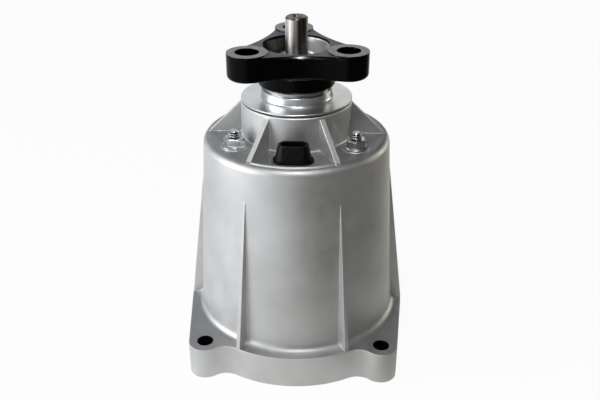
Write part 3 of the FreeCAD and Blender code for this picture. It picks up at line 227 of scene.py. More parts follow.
def eased(tree, value, start, stop, low_end=0.0, high_end=1.0):
    """Maps a value as spread does, with soft ends."""
    return spread(tree, value, low_end, high_end, start, stop, interpolation_type="SMOOTHSTEP")


def tinted(tree, mask, first, second):
    """A colour between two colours, each an sRGB code or a link."""
    pair = [linear(colour) if isinstance(colour, str) else colour for colour in (first, second)]
    made = node(tree, "ShaderNodeMix", {0: mask, 6: pair[0], 7: pair[1]}, data_type="RGBA")
    return made.outputs[2]


def mixed(tree, mask, first, second):
    """A value between two values."""
    return node(tree, "ShaderNodeMix", {0: mask, 2: first, 3: second}).outputs[0]


def rounded(tree, radius):
    """The normal over edges that are rounded by a radius in millimetres."""
    return node(tree, "ShaderNodeBevel", {"Radius": radius * MM}, samples=BEVEL_SAMPLES).outputs[0]


def relief(tree, shader, height, depth, edge=0.0):
    """Bump of a real depth, over edges that are rounded by a radius, both in millimetres."""
    bump = node(tree, "ShaderNodeBump", {"Height": height, "Distance": depth * MM, "Strength": 1.0})
    if edge:
        tree.links.new(rounded(tree, edge), bump.inputs["Normal"])
    wire(tree, shader, Normal=bump.outputs[0])


def coordinate(tree, vector, axis):
    return node(tree, "ShaderNodeSeparateXYZ", {0: vector}).outputs[axis]


def flattened(tree, place):
    return vectors(tree, "MULTIPLY", place, (1, 1, 0))


def from_axis(tree, place):
    """Distance from the axis of rotation, in metres."""
    return vectors(tree, "LENGTH", flattened(tree, place), result="Value")


def from_ear(tree, place):
    """Distance from the middle of the nearest base hole, in metres."""
    corner = vectors(tree, "ABSOLUTE", flattened(tree, place))
    return vectors(tree, "DISTANCE", corner, EAR_HOLE, result="Value")


def rise_of(tree, kind="Normal"):
    """How far the surface looks up, from -1 to 1."""
    return coordinate(tree, node(tree, "ShaderNodeNewGeometry").outputs[kind], "Z")


def facing_up(tree):
    """1 where the surface looks along the axis, 0 elsewhere."""
    return maths(tree, "GREATER_THAN", rise_of(tree, "True Normal"), FLAT_RISE)


def sloping(tree):
    """1 on slanted faces that look partly up, such as bevelled upper edges, 0 elsewhere."""
    return maths(tree, "COMPARE", rise_of(tree, "True Normal"), SLOPE_RISE, SLOPE_RANGE)


def edge_mask(tree, radius):
    """1 on edges that a round of this many millimetres would take, 0 elsewhere."""
    normal = node(tree, "ShaderNodeNewGeometry").outputs["Normal"]
    along = vectors(tree, "DOT_PRODUCT", rounded(tree, radius), normal, result="Value")
    return spread(tree, along, 1.0, 0.0, 0.90, 0.97)


def lathe_lines(tree, value, pitch):
    """Fine turning marks, one each pitch millimetres along a value in metres."""
    return maths(tree, "SINE", maths(tree, "MULTIPLY", value, 2 * math.pi / (pitch * MM)))


def ray_kinds(tree):
    """1 for rays from the camera, and 1 for rays that come by a mirror or through glass."""
    path = node(tree, "ShaderNodeLightPath").outputs
    mirror = maths(tree, "MAXIMUM", path["Is Glossy Ray"], path["Is Transmission Ray"])
    return path["Is Camera Ray"], mirror


def cast_aluminium():
    # Die-cast aluminium, shot-blasted: a fine even sand of about 0.5 mm that makes the metal satin,
    # with faint clouds where the melt chilled, under an oxide skin that scatters some of the light.
    # Its flat upper faces are painted a darker, blotchy grey as shade. The slanted backs of its
    # upper ribs carry a painted highlight and all edges a painted highlight line, its base face and
    # nose rim are turned bright, and its bolt holes are painted dark as shade.
    finish = bpy.context.scene.coupling_finish
    material, tree, shader, place = new_material("die_cast_aluminium", Metallic=0.85)
    clouds = grain(tree, place, 28, 4)
    sand = grain(tree, place, 0.5, 2)
    blotch = grain(tree, place, 7, 3)
    height = coordinate(tree, place, "Z")
    colour = tinted(tree, spread(tree, clouds, 0, 1), finish.cast_dark, finish.cast_pale)
    # Painted shade: faces that look up are darkened to a blotchy grey
    film = tinted(tree, spread(tree, blotch, 0, 1), "#9fa0a2", "#aaabad")
    colour = tinted(tree, spread(tree, rise_of(tree), 0, 1, 0.67, 0.87), colour, film)
    # Painted highlight on slanted faces above the nut seats, the backs of the ribs
    ribs = maths(tree, "MULTIPLY", maths(tree, "GREATER_THAN", height, RIB_FOOT), sloping(tree))
    colour = tinted(tree, ribs, colour, "#dededc")
    # Painted highlight line along all edges
    colour = tinted(tree, mixed(tree, edge_mask(tree, 0.8), 0.0, 0.7), colour, "#f0f0ee")
    rim = maths(tree, "GREATER_THAN", height, NOSE_RIM)
    turned = maths(tree, "MAXIMUM", rim, maths(tree, "LESS_THAN", height, BASE_FACE))
    colour = tinted(tree, turned, colour, "#d6d7d8")
    # Painted shade in and round the bolt holes
    bore = maths(tree, "LESS_THAN", from_ear(tree, place), HOLE_SHADE_REACH)
    satin = mixed(tree, turned, spread(tree, blotch, 0.44, 0.54), 0.24)
    wire(tree, shader, Base_Color=tinted(tree, bore, colour, "#171716"), Roughness=satin)
    ridges = lathe_lines(tree, from_axis(tree, place), 0.6)
    relief(tree, shader, mixed(tree, turned, sand, ridges), 0.035, finish.cast_edge)
    return material


def black_flange():
    # Forged steel, painted nearly black on its sides, which mirror little, with edges that handling
    # has polished. The web is rubbed to a dark grey. The boss faces, the nut's pocket and the land
    # that takes the deflector are machined bare, with tool lines round the axis. The pocket is
    # painted brownish dark on its left as shade and pale on its right as light.
    finish = bpy.context.scene.coupling_finish
    material, tree, shader, place = new_material("black_painted_forging")
    up = facing_up(tree)
    height = coordinate(tree, place, "Z")
    radius = from_axis(tree, place)
    face = maths(tree, "MULTIPLY", maths(tree, "GREATER_THAN", height, BOSS_FACE), up)
    web = maths(tree, "MULTIPLY", maths(tree, "GREATER_THAN", height, WEB_FACE), up)
    inside = maths(tree, "LESS_THAN", radius, POCKET_RADIUS)
    pocket = maths(tree, "MULTIPLY", inside, maths(tree, "GREATER_THAN", height, POCKET_FLOOR))
    turned = maths(tree, "MAXIMUM", pocket, maths(tree, "LESS_THAN", height, LAND_TOP))
    bare = maths(tree, "MAXIMUM", face, turned)
    patches = spread(tree, grain(tree, place, 3, 4), 0, 1)
    # Painted light and shade: the pocket darkens towards its left and lightens towards its right
    painted_pocket_light = spread(tree, coordinate(tree, place, "X"), 0.0, 1.0, *POCKET_SHADE_SPAN)
    rubbed_web = tinted(tree, patches, "#4b4c4e", "#626365")
    colour = tinted(tree, web, finish.flange_side, rubbed_web)
    colour = tinted(tree, face, colour, tinted(tree, patches, "#9a9b9c", "#b2b3b3"))
    colour = tinted(tree, turned, colour, tinted(tree, patches, "#a5a19c", "#c3c0bb"))
    colour = tinted(tree, pocket, colour, tinted(tree, painted_pocket_light, "#57534e", "#efeeec"))
    metal = mixed(tree, maths(tree, "MULTIPLY", pocket, painted_pocket_light), 1.0, 0.5)
    worn = edge_mask(tree, finish.flange_edge)
    rubbed = maths(tree, "MAXIMUM", worn, sloping(tree))
    sheen = mixed(tree, worn, mixed(tree, rubbed, 0.07, 0.16), 1.0)
    gloss = mixed(tree, web, spread(tree, grain(tree, place, 12, 3), 0.20, 0.30), 0.42)
    gloss = mixed(tree, turned, mixed(tree, rubbed, gloss, 0.11), 0.22)
    wire(
        tree, shader, Base_Color=colour, Metallic=mixed(tree, bare, 0.0, metal),
        Specular_IOR_Level=mixed(tree, bare, sheen, 0.5), Roughness=mixed(tree, face, gloss, 0.5))
    skin = maths(tree, "MULTIPLY", grain(tree, place, 1.6, 3), 0.8)
    rings = lathe_lines(tree, radius, 0.5)
    relief(tree, shader, mixed(tree, bare, skin, rings), 0.015, finish.flange_edge)
    return material


def turned_steel(name, dark, pale, rough, pitch=0.4, depth=0.006, edge=0.25):
    # Turned or ground steel: bright, with fine tool lines round the axis and a slight oil film.
    material, tree, shader, place = new_material(name, Metallic=1.0)
    film = spread(tree, grain(tree, place, 9, 4), 0, 1)
    dulled = spread(tree, grain(tree, place, 4, 3), rough * 0.85, rough * 1.15)
    wire(tree, shader, Base_Color=tinted(tree, film, dark, pale), Roughness=dulled)
    rings = lathe_lines(tree, from_axis(tree, place), pitch)
    bands = lathe_lines(tree, coordinate(tree, place, "Z"), pitch * 1.1)
    relief(tree, shader, maths(tree, "ADD", rings, bands), depth, edge)
    return material


def ground_pin_steel():
    # Ground and hardened steel: the wheel's marks run round it, so that what it mirrors is drawn
    # out into streaks along the axis, here also painted as streaks of tone every 1.5 mm, a painted
    # reflection. Its end is turned and browned by old oil. Its right side is painted dark as shade.
    material, tree, shader, place = new_material(
        "ground_shaft_steel", Metallic=1.0, Anisotropic=0.9, Anisotropic_Rotation=0.25)
    round_axis = vectors(tree, "CROSS_PRODUCT", (0, 0, 1), place)
    marks = node(tree, "ShaderNodeVectorTransform", {
        0: round_axis}, vector_type="VECTOR", convert_from="OBJECT", convert_to="WORLD").outputs[0]
    # Painted reflection: streaks of tone along the axis
    streaks = spread(tree, grain(tree, place, 1.5, 2, (1, 1, 0.02)), 0, 1)
    tip = maths(tree, "GREATER_THAN", coordinate(tree, place, "Z"), PIN_END)
    # Painted shade on the pin's right side
    painted_pin_shade = spread(tree, coordinate(tree, place, "X"), 0.0, 1.0, *PIN_SHADE_SPAN)
    painted_lit_side = tinted(tree, streaks, "#8d8882", "#efedea")
    painted_shaded_side = tinted(tree, streaks, "#2a2725", "#8a8683")
    brown = tinted(tree, spread(tree, grain(tree, place, 0.9, 4), 0, 1), "#5d554d", "#9a9289")
    colour = tinted(tree, tip, tinted(tree, painted_pin_shade, painted_lit_side, painted_shaded_side), brown)
    rough = mixed(tree, tip, spread(tree, streaks, 0.38, 0.32), 0.45)
    wire(tree, shader, Base_Color=colour, Roughness=rough, Tangent=marks)
    relief(tree, shader, streaks, 0.002, 0.25)
    return material


def zinc_plate():
    # Bright zinc plate with a clear bluish passivation: a cool white metal with a faint drift of
    # tone over some millimetres, and a soft gloss that blurs what it mirrors.
    material, tree, shader, place = new_material("clear_passivated_zinc", Metallic=1.0)
    drift = spread(tree, grain(tree, place, 11, 3), 0, 1)
    gloss = spread(tree, grain(tree, place, 2.5, 3), 0.25, 0.34)
    wire(tree, shader, Base_Color=tinted(tree, drift, "#bfc3c7", "#d8dadb"), Roughness=gloss)
    relief(tree, shader, grain(tree, place, 0.8, 2), 0.006, 0.3)
    return material


def spun_zinc():
    # Steel sheet spun to shape and zinc plated: cool and pale, with rings from the roller 0.5 mm
    # apart that blur what it mirrors into soft bands.
    material, tree, shader, place = new_material("spun_zinc_sheet", Metallic=1.0)
    drift = spread(tree, grain(tree, place, 14, 3), 0, 1)
    gloss = spread(tree, grain(tree, place, 6, 3), 0.31, 0.36)
    wire(tree, shader, Base_Color=tinted(tree, drift, "#e0e3e6", "#edeeee"), Roughness=gloss)
    relief(tree, shader, lathe_lines(tree, from_axis(tree, place), 0.5), 0.0015, 0.15)
    return material


def moulded(name, dark, pale, rough, depth=0.02, edge=0.3, gloss=0.5):
    # Moulded plastic or rubber: an even colour with a fine eroded skin, a little duller in patches.
    material, tree, shader, place = new_material(name, Specular_IOR_Level=gloss)
    patch = grain(tree, place, 6, 4)
    colour = tinted(tree, spread(tree, patch, 0, 1), dark, pale)
    dulled = spread(tree, patch, rough * 0.85, rough * 1.15)
    wire(tree, shader, Base_Color=colour, Roughness=dulled)
    relief(tree, shader, grain(tree, place, 0.4, 2), depth, edge)
    return material


def lined_paper():
    # Clutch paper bonded to steel: brown felted fibre under a millimetre long, dark with oil.
    material, tree, shader, place = new_material("oiled_friction_paper")
    fibre = grain(tree, place, 0.7, 6, (1, 1, 3))
    colour = tinted(tree, spread(tree, fibre, 0, 1), "#3a2a1b", "#6a5238")
    wire(tree, shader, Base_Color=colour, Roughness=spread(tree, fibre, 0.55, 0.75))
    relief(tree, shader, fibre, 0.05)
    return material


def pale_floor():
    # Painted plywood backdrop, matt and nearly white. The camera, and metal and glass that mirror
    # it, see it lifted to white, and it keeps the object's shadow. In front of the part and to its
    # right, out of the picture, what mirrors see of it falls off to dark, as beside a black card.
    # What they see of it is a little blue on the left and a little yellow on the right. Under the
    # base holes it isn't lifted. From below it is clear, so that the inside can be looked at, and
    # far off it fades to white.
    material, tree, shader, place = new_material("matt_white_backdrop", Roughness=0.8)
    wire(tree, shader, Base_Color=tinted(tree, grain(tree, place, 300, 2), "#f2f2f1", "#f6f6f6"))
    camera, mirror = ray_kinds(tree)
    across = coordinate(tree, place, "X")
    right = eased(tree, across, *CARD_RIGHT)
    slant = maths(tree, "MULTIPLY_ADD", across, CARD_SLANT, coordinate(tree, place, "Y"))
    card = maths(tree, "MULTIPLY", right, eased(tree, slant, *CARD_FRONT))
    strength = mixed(tree, maths(tree, "MULTIPLY", card, mirror), 1.0, CARD_LEVEL)
    far = spread(tree, from_axis(tree, place), FLOOR_SHARE, 1.0, *FLOOR_FADE)
    by_camera = maths(tree, "MULTIPLY", camera, far)
    seen = maths(tree, "MAXIMUM", by_camera, maths(tree, "MULTIPLY", mirror, FLOOR_SHARE))
    open_floor = maths(tree, "GREATER_THAN", from_ear(tree, place), EAR_SHADE)
    share = maths(tree, "MULTIPLY", seen, open_floor)
    hue = tinted(tree, spread(tree, across, 0, 1, *FLOOR_HUE), "#eff3fb", "#f4f1e1")
    glow = node(tree, "ShaderNodeEmission", {
        "Color": tinted(tree, mirror, "#ffffff", hue), "Strength": strength,
    })
    blend = node(tree, "ShaderNodeMixShader", {
        0: share, 1: shader.outputs[0], 2: glow.outputs[0],
    })
    below = node(tree, "ShaderNodeNewGeometry").outputs["Backfacing"]
    clear = node(tree, "ShaderNodeBsdfTransparent").outputs[0]
    sides = node(tree, "ShaderNodeMixShader", {0: below, 1: blend.outputs[0], 2: clear})
    wire(tree, tree.nodes["Material Output"], Surface=sides.outputs[0])
    return material


# Meshes and Geometry Nodes
def mesh_object(name, mesh=None):
    """An object in the scene, with an empty mesh of its name if none is given."""
    thing = bpy.data.objects.new(name, mesh or bpy.data.meshes.new(name))
    bpy.context.scene.collection.objects.link(thing)
    return thing


def geometry_tree(name, *labels):
    """A Geometry Nodes tree with a geometry output and the named number inputs."""
    tree = bpy.data.node_groups.new(name, "GeometryNodeTree")
    tree.interface.new_socket("Geometry", in_out="INPUT", socket_type="NodeSocketGeometry")
    for label in labels:
        tree.interface.new_socket(label, in_out="INPUT", socket_type="NodeSocketFloat")
    tree.interface.new_socket("Geometry", in_out="OUTPUT", socket_type="NodeSocketGeometry")
    return tree, node(tree, "NodeGroupInput").outputs


def lifted(tree, geometry, height):
    """Geometry moved up along the axis."""
    shift = node(tree, "ShaderNodeCombineXYZ", {2: height}).outputs[0]
    moved = node(tree, "GeometryNodeTransform", {"Geometry": geometry, "Translation": shift})
    return moved.outputs[0]


def close_tree(tree, geometry, material, kept=None):
    """Ends a tree in Realize Instances and Set Material, but for faces of the kept material."""
    end = node(tree, "GeometryNodeRealizeInstances", {"Geometry": geometry}).outputs[0]
    finish = node(tree, "GeometryNodeSetMaterial", {"Geometry": end, "Material": material})
    if kept:
        held = node(tree, "GeometryNodeMaterialSelection", {"Material": kept}).outputs[0]
        free = node(tree, "FunctionNodeBooleanMath", {0: held}, operation="NOT").outputs[0]
        tree.links.new(free, finish.inputs["Selection"])
    node(tree, "NodeGroupOutput", {"Geometry": finish.outputs[0]})


def made_by_nodes(name, tree, values, points, body):
    """Runs a tree on points with its values, by socket identifier, and keeps a plain mesh."""
    seed = bpy.data.meshes.new(name)
    seed.from_pydata(points, [], [])
    carrier = mesh_object(name, seed)
    modifier = carrier.modifiers.new("shape", "NODES")
    modifier.node_group = tree
    for item in tree.interface.items_tree:
        if item.in_out == "INPUT" and item.name in values:
            modifier[item.identifier] = values[item.name]
    ready = carrier.evaluated_get(bpy.context.evaluated_depsgraph_get())
    mesh = bpy.data.meshes.new_from_object(ready)
    bpy.data.objects.remove(carrier)
    piece = mesh_object(name, mesh)
    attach(piece, body)
    return piece


def crisp_tree():
    """Joins a node's loose triangles and shades them smooth up to sharp edges."""
    tree, entry = geometry_tree("crisp_shading", "Angle")
    joined = node(tree, "GeometryNodeMergeByDistance", {
        "Geometry": entry["Geometry"], "Distance": LOOSE_GAP,
    })
    smooth = node(tree, "GeometryNodeSetShadeSmooth", {
        "Geometry": joined.outputs[0], "Shade Smooth": True,
    })
    angle = node(tree, "GeometryNodeInputMeshEdgeAngle").outputs["Unsigned Angle"]
    flat = node(tree, "FunctionNodeCompare", {
        0: angle, 1: entry["Angle"],
    }, operation="LESS_THAN", data_type="FLOAT")
    edged = node(tree, "GeometryNodeSetShadeSmooth", {
        "Geometry": smooth.outputs[0], "Shade Smooth": flat.outputs[0],
    }, domain="EDGE")
    node(tree, "NodeGroupOutput", {"Geometry": edged.outputs[0]})
    return tree


def dress(names, material):
    """Gives CAD nodes a material and crisp shading."""
    tree = bpy.data.node_groups.get("crisp_shading") or crisp_tree()
    angle = next(item for item in tree.interface.items_tree if item.name == "Angle")
    for name in names:
        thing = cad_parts[name]
        thing.data.materials.clear()
        thing.data.materials.append(material)
        modifier = thing.modifiers.new("crisp", "NODES")
        modifier.node_group = tree
        modifier[angle.identifier] = CRISP_ANGLE


def finish_mesh(piece, work, material, body):
    """Writes a bmesh into a piece with its faces outward."""
    bmesh.ops.remove_doubles(work, verts=work.verts, dist=WELD_GAP)
    bmesh.ops.recalc_face_normals(work, faces=work.faces)
    work.to_mesh(piece.data)
    work.free()
    for face in piece.data.polygons:
        face.use_smooth = True
    piece.data.materials.append(material)
    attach(piece, body)


def bevelled(piece, width):
    """Rounds a piece's sharp edges with a modifier."""
    modifier = piece.modifiers.new("edges", "BEVEL")
    modifier.width = width * MM
    modifier.segments = 2
    modifier.limit_method = "ANGLE"
    modifier.angle_limit = math.radians(40)
    modifier.harden_normals = True


# Settings
class CouplingFinish(bpy.types.PropertyGroup):
    cast_pale: StringProperty(
        name="Cast aluminium, pale", description="Paler tone of the casting", default="#d0d0cf")
    cast_dark: StringProperty(
        name="Cast aluminium, dark", description="Darker tone of the casting", default="#c1c1bf")
    cast_edge: FloatProperty(
        name="Cast rounds", description="Radius of the small rounds at ribs and edges, millimetres",
        default=0.7, min=0.0, max=4.0)
    flange_side: StringProperty(
        name="Flange paint", description="Black sides of the arm flange", default="#020203")
    flange_edge: FloatProperty(
        name="Flange rounds", description="Radius of the flange's small rounds, millimetres",
        default=0.9, min=0.0, max=3.0)


class CouplingThreads(bpy.types.PropertyGroup):
    stud_radius: FloatProperty(
        name="Stud radius", description="Crest radius of the stud thread",
        default=4 * MM, unit="LENGTH", precision=4)
    stud_pitch: FloatProperty(
        name="Stud pitch",
        description="Distance between two crests, a little coarse so that it shows",
        default=1.5 * MM, unit="LENGTH", precision=5)
    stud_circle: FloatProperty(
        name="Stud circle", description="Radius on which the studs stand",
        default=49 * MM, unit="LENGTH", precision=4)
    stud_angle: FloatProperty(
        name="Front studs",
        description="How far the two front studs stand before the line across the part",
        default=math.radians(33.8), subtype="ANGLE", unit="ROTATION")
    nut_flats: FloatProperty(
        name="Nut flats", description="Width across the flats of a stud nut",
        default=12.6 * MM, unit="LENGTH", precision=4)
    nut_height: FloatProperty(
        name="Nut height", description="Height of a stud nut with its flange",
        default=6.6 * MM, unit="LENGTH", precision=4)
    nut_flange: FloatProperty(
        name="Nut flange", description="Radius of a stud nut's flange",
        default=8.6 * MM, unit="LENGTH", precision=4)


class CouplingDeflector(bpy.types.PropertyGroup):
    bore: FloatProperty(
        name="Bore", description="Inner radius of the deflector",
        default=22.95 * MM, unit="LENGTH", precision=5)
    collar: FloatProperty(
        name="Collar", description="Outer radius of the collar",
        default=24.15 * MM, unit="LENGTH", precision=5)
    sheet: FloatProperty(
        name="Sheet", description="Thickness of the sheet",
        default=1.2 * MM, unit="LENGTH", precision=5)
    cove: FloatProperty(
        name="Cove", description="How far the cove runs out over the disc",
        default=1.1 * MM, unit="LENGTH", precision=5)
    rise: FloatProperty(
        name="Cove height", description="How far the cove climbs up the collar",
        default=1.1 * MM, unit="LENGTH", precision=5)


class CouplingStage(bpy.types.PropertyGroup):
    floor_side: FloatProperty(
        name="Floor", description="Side of the floor", default=9.0, unit="LENGTH")
    sky: FloatProperty(
        name="Sky", description="Strength of the room's light", default=0.30, min=0.0, max=2.0)
    camera_lens: FloatProperty(
        name="Lens", description="Focal length of the camera in millimetres", default=48.076)
    camera_place: FloatVectorProperty(
        name="Camera", description="Place of the camera", default=(0.0222, -0.518, 0.3808),
        subtype="TRANSLATION", unit="LENGTH")
    camera_tilt: FloatProperty(
        name="Tilt", description="How far the camera looks down",
        default=math.radians(27.989), subtype="ANGLE", unit="ROTATION")
    camera_turn: FloatProperty(
        name="Turn", description="How far the camera stands turned",
        default=math.radians(2.458), subtype="ANGLE", unit="ROTATION")


# One operator for the stage and for each piece or group
class CouplingOperator:
    bl_options = {"REGISTER", "UNDO"}


class COUPLING_OT_stage(CouplingOperator, bpy.types.Operator):
    """Sets up the floor, the lights and the camera"""

    bl_idname = "coupling.stage"
    bl_label = "Stage"

    def execute(self, context):
        stage = context.scene.coupling_stage
        camera = bpy.data.cameras.new("camera")
        camera.lens = stage.camera_lens
        camera.sensor_width = CAMERA_SENSOR
        camera.shift_x = CAMERA_SHIFT
        holder = bpy.data.objects.new("camera", camera)
        holder.location = stage.camera_place
        holder.rotation_euler = (math.pi / 2 - stage.camera_tilt, 0, stage.camera_turn)
        context.scene.collection.objects.link(holder)
        context.scene.camera = holder

        floor = mesh_object("floor")
        work = bmesh.new()
        bmesh.ops.create_grid(
            work, x_segments=FLOOR_CELLS, y_segments=FLOOR_CELLS, size=stage.floor_side / 2)
        work.to_mesh(floor.data)
        work.free()
        floor.data.materials.append(pale_floor())

        for lamp in LAMPS:
            self.lamp(context, *lamp)
        self.sky(context, stage.sky)
        context.scene.view_settings.view_transform = "Standard"
        return {"FINISHED"}

    def lamp(self, context, name, place, side, power, colour):
        """A square soft lamp that looks at the middle of the part."""
        data = bpy.data.lights.new(name, "AREA")
        data.size = side
        data.energy = power
        data.color = colour
        lamp = bpy.data.objects.new(name, data)
        lamp.location = place
        aim = Vector(LAMP_AIM) - Vector(place)
        lamp.rotation_euler = aim.to_track_quat("-Z", "Y").to_euler()
        context.scene.collection.objects.link(lamp)

    def sky(self, context, strength):
        """A white room, which mirrors see dim towards its right, with a white wall at its back."""
        world = bpy.data.worlds.new("room")
        world.use_nodes = True
        context.scene.world = world
        tree = world.node_tree
        direction = node(tree, "ShaderNodeTexCoord").outputs["Generated"]
        across, back, up = (coordinate(tree, direction, axis) for axis in "XYZ")
        side = eased(tree, across, *ROOM_SIDE, *ROOM_LEVELS)
        aside = maths(tree, "ABSOLUTE", maths(tree, "ADD", across, WALL_SHIFT))
        wall = maths(tree, "MULTIPLY", eased(tree, back, *WALL_BACK), eased(tree, up, *WALL_TOP))
        wall = maths(tree, "MULTIPLY", wall, eased(tree, aside, *WALL_SIDE))
        camera, mirror = ray_kinds(tree)
        level = mixed(tree, mirror, strength, mixed(tree, wall, side, 1.0))
        hue = tinted(tree, spread(tree, across, 0, 1, *ROOM_HUE), "#e2e8f3", "#eeebdf")
        hue = tinted(tree, maths(tree, "SUBTRACT", mirror, camera), "#ffffff", hue)
        room = tree.nodes["Background"]
        wire(tree, room, Color=hue, Strength=mixed(tree, camera, level, 1.0))


class COUPLING_OT_housing(CouplingOperator, bpy.types.Operator):
    """Finishes the cast bell"""

    bl_idname = "coupling.housing"
    bl_label = "Housing"

    def execute(self, context):
        dress(["bell_housing"], cast_aluminium())
        return {"FINISHED"}


class COUPLING_OT_flange(CouplingOperator, bpy.types.Operator):
    """Finishes the arm flange, the shaft with its pin, the nut and the dust deflector"""

    bl_idname = "coupling.flange"
    bl_label = "Flange and shaft"

    def execute(self, context):
        dress(["input_flange"], black_flange())
        dress(["input_shaft"], ground_pin_steel())
        dress(["flange_nut"], zinc_plate())
        deflector = mesh_object("spun_deflector")
        work = bmesh.new()
        self.spin(work, context.scene.coupling_deflector)
        finish_mesh(deflector, work, spun_zinc(), "input_rotor")
        deflector.data.set_sharp_from_angle(angle=CRISP_ANGLE)
        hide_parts("dust_deflector")
        return {"FINISHED"}

    def spin(self, work, sizes):
        """The deflector's section, with its beaded collar and its cove, spun round the axis."""
        foot, top, outside = DEFLECTOR_LOW / MM, DEFLECTOR_TOP / MM, DEFLECTOR_OUTSIDE / MM
        bore, collar, face = sizes.bore / MM, sizes.collar / MM, foot + sizes.sheet / MM
        section = [(bore, foot), (outside - SHEET_ROUND, foot), (outside, foot + SHEET_ROUND)]
        section += [(outside, face - SHEET_ROUND), (outside - SHEET_ROUND, face)]
        cove, rise = sizes.cove / MM, sizes.rise / MM
        for step in range(COVE_STEPS + 1):
            turn = math.pi / 2 * step / COVE_STEPS
            out, up = cove * (1 - math.sin(turn)), rise * (1 - math.cos(turn))
            section.append((collar + out, face + up))
        section += [(collar + out, face + rise + up) for out, up in GROOVE]
        section += [(collar + BEAD_REACH, top - BEAD_ROUND), (collar - BEAD_REACH, top)]
        section.append((bore, top))
        corners = [work.verts.new((r * MM, 0, z * MM)) for r, z in section]
        edges = [work.edges.new((corners[i - 1], corners[i])) for i in range(len(corners))]
        bmesh.ops.spin(
            work, geom=corners + edges, cent=(0, 0, 0), axis=(0, 0, 1), angle=math.tau,
            steps=SPIN_STEPS, use_merge=True)


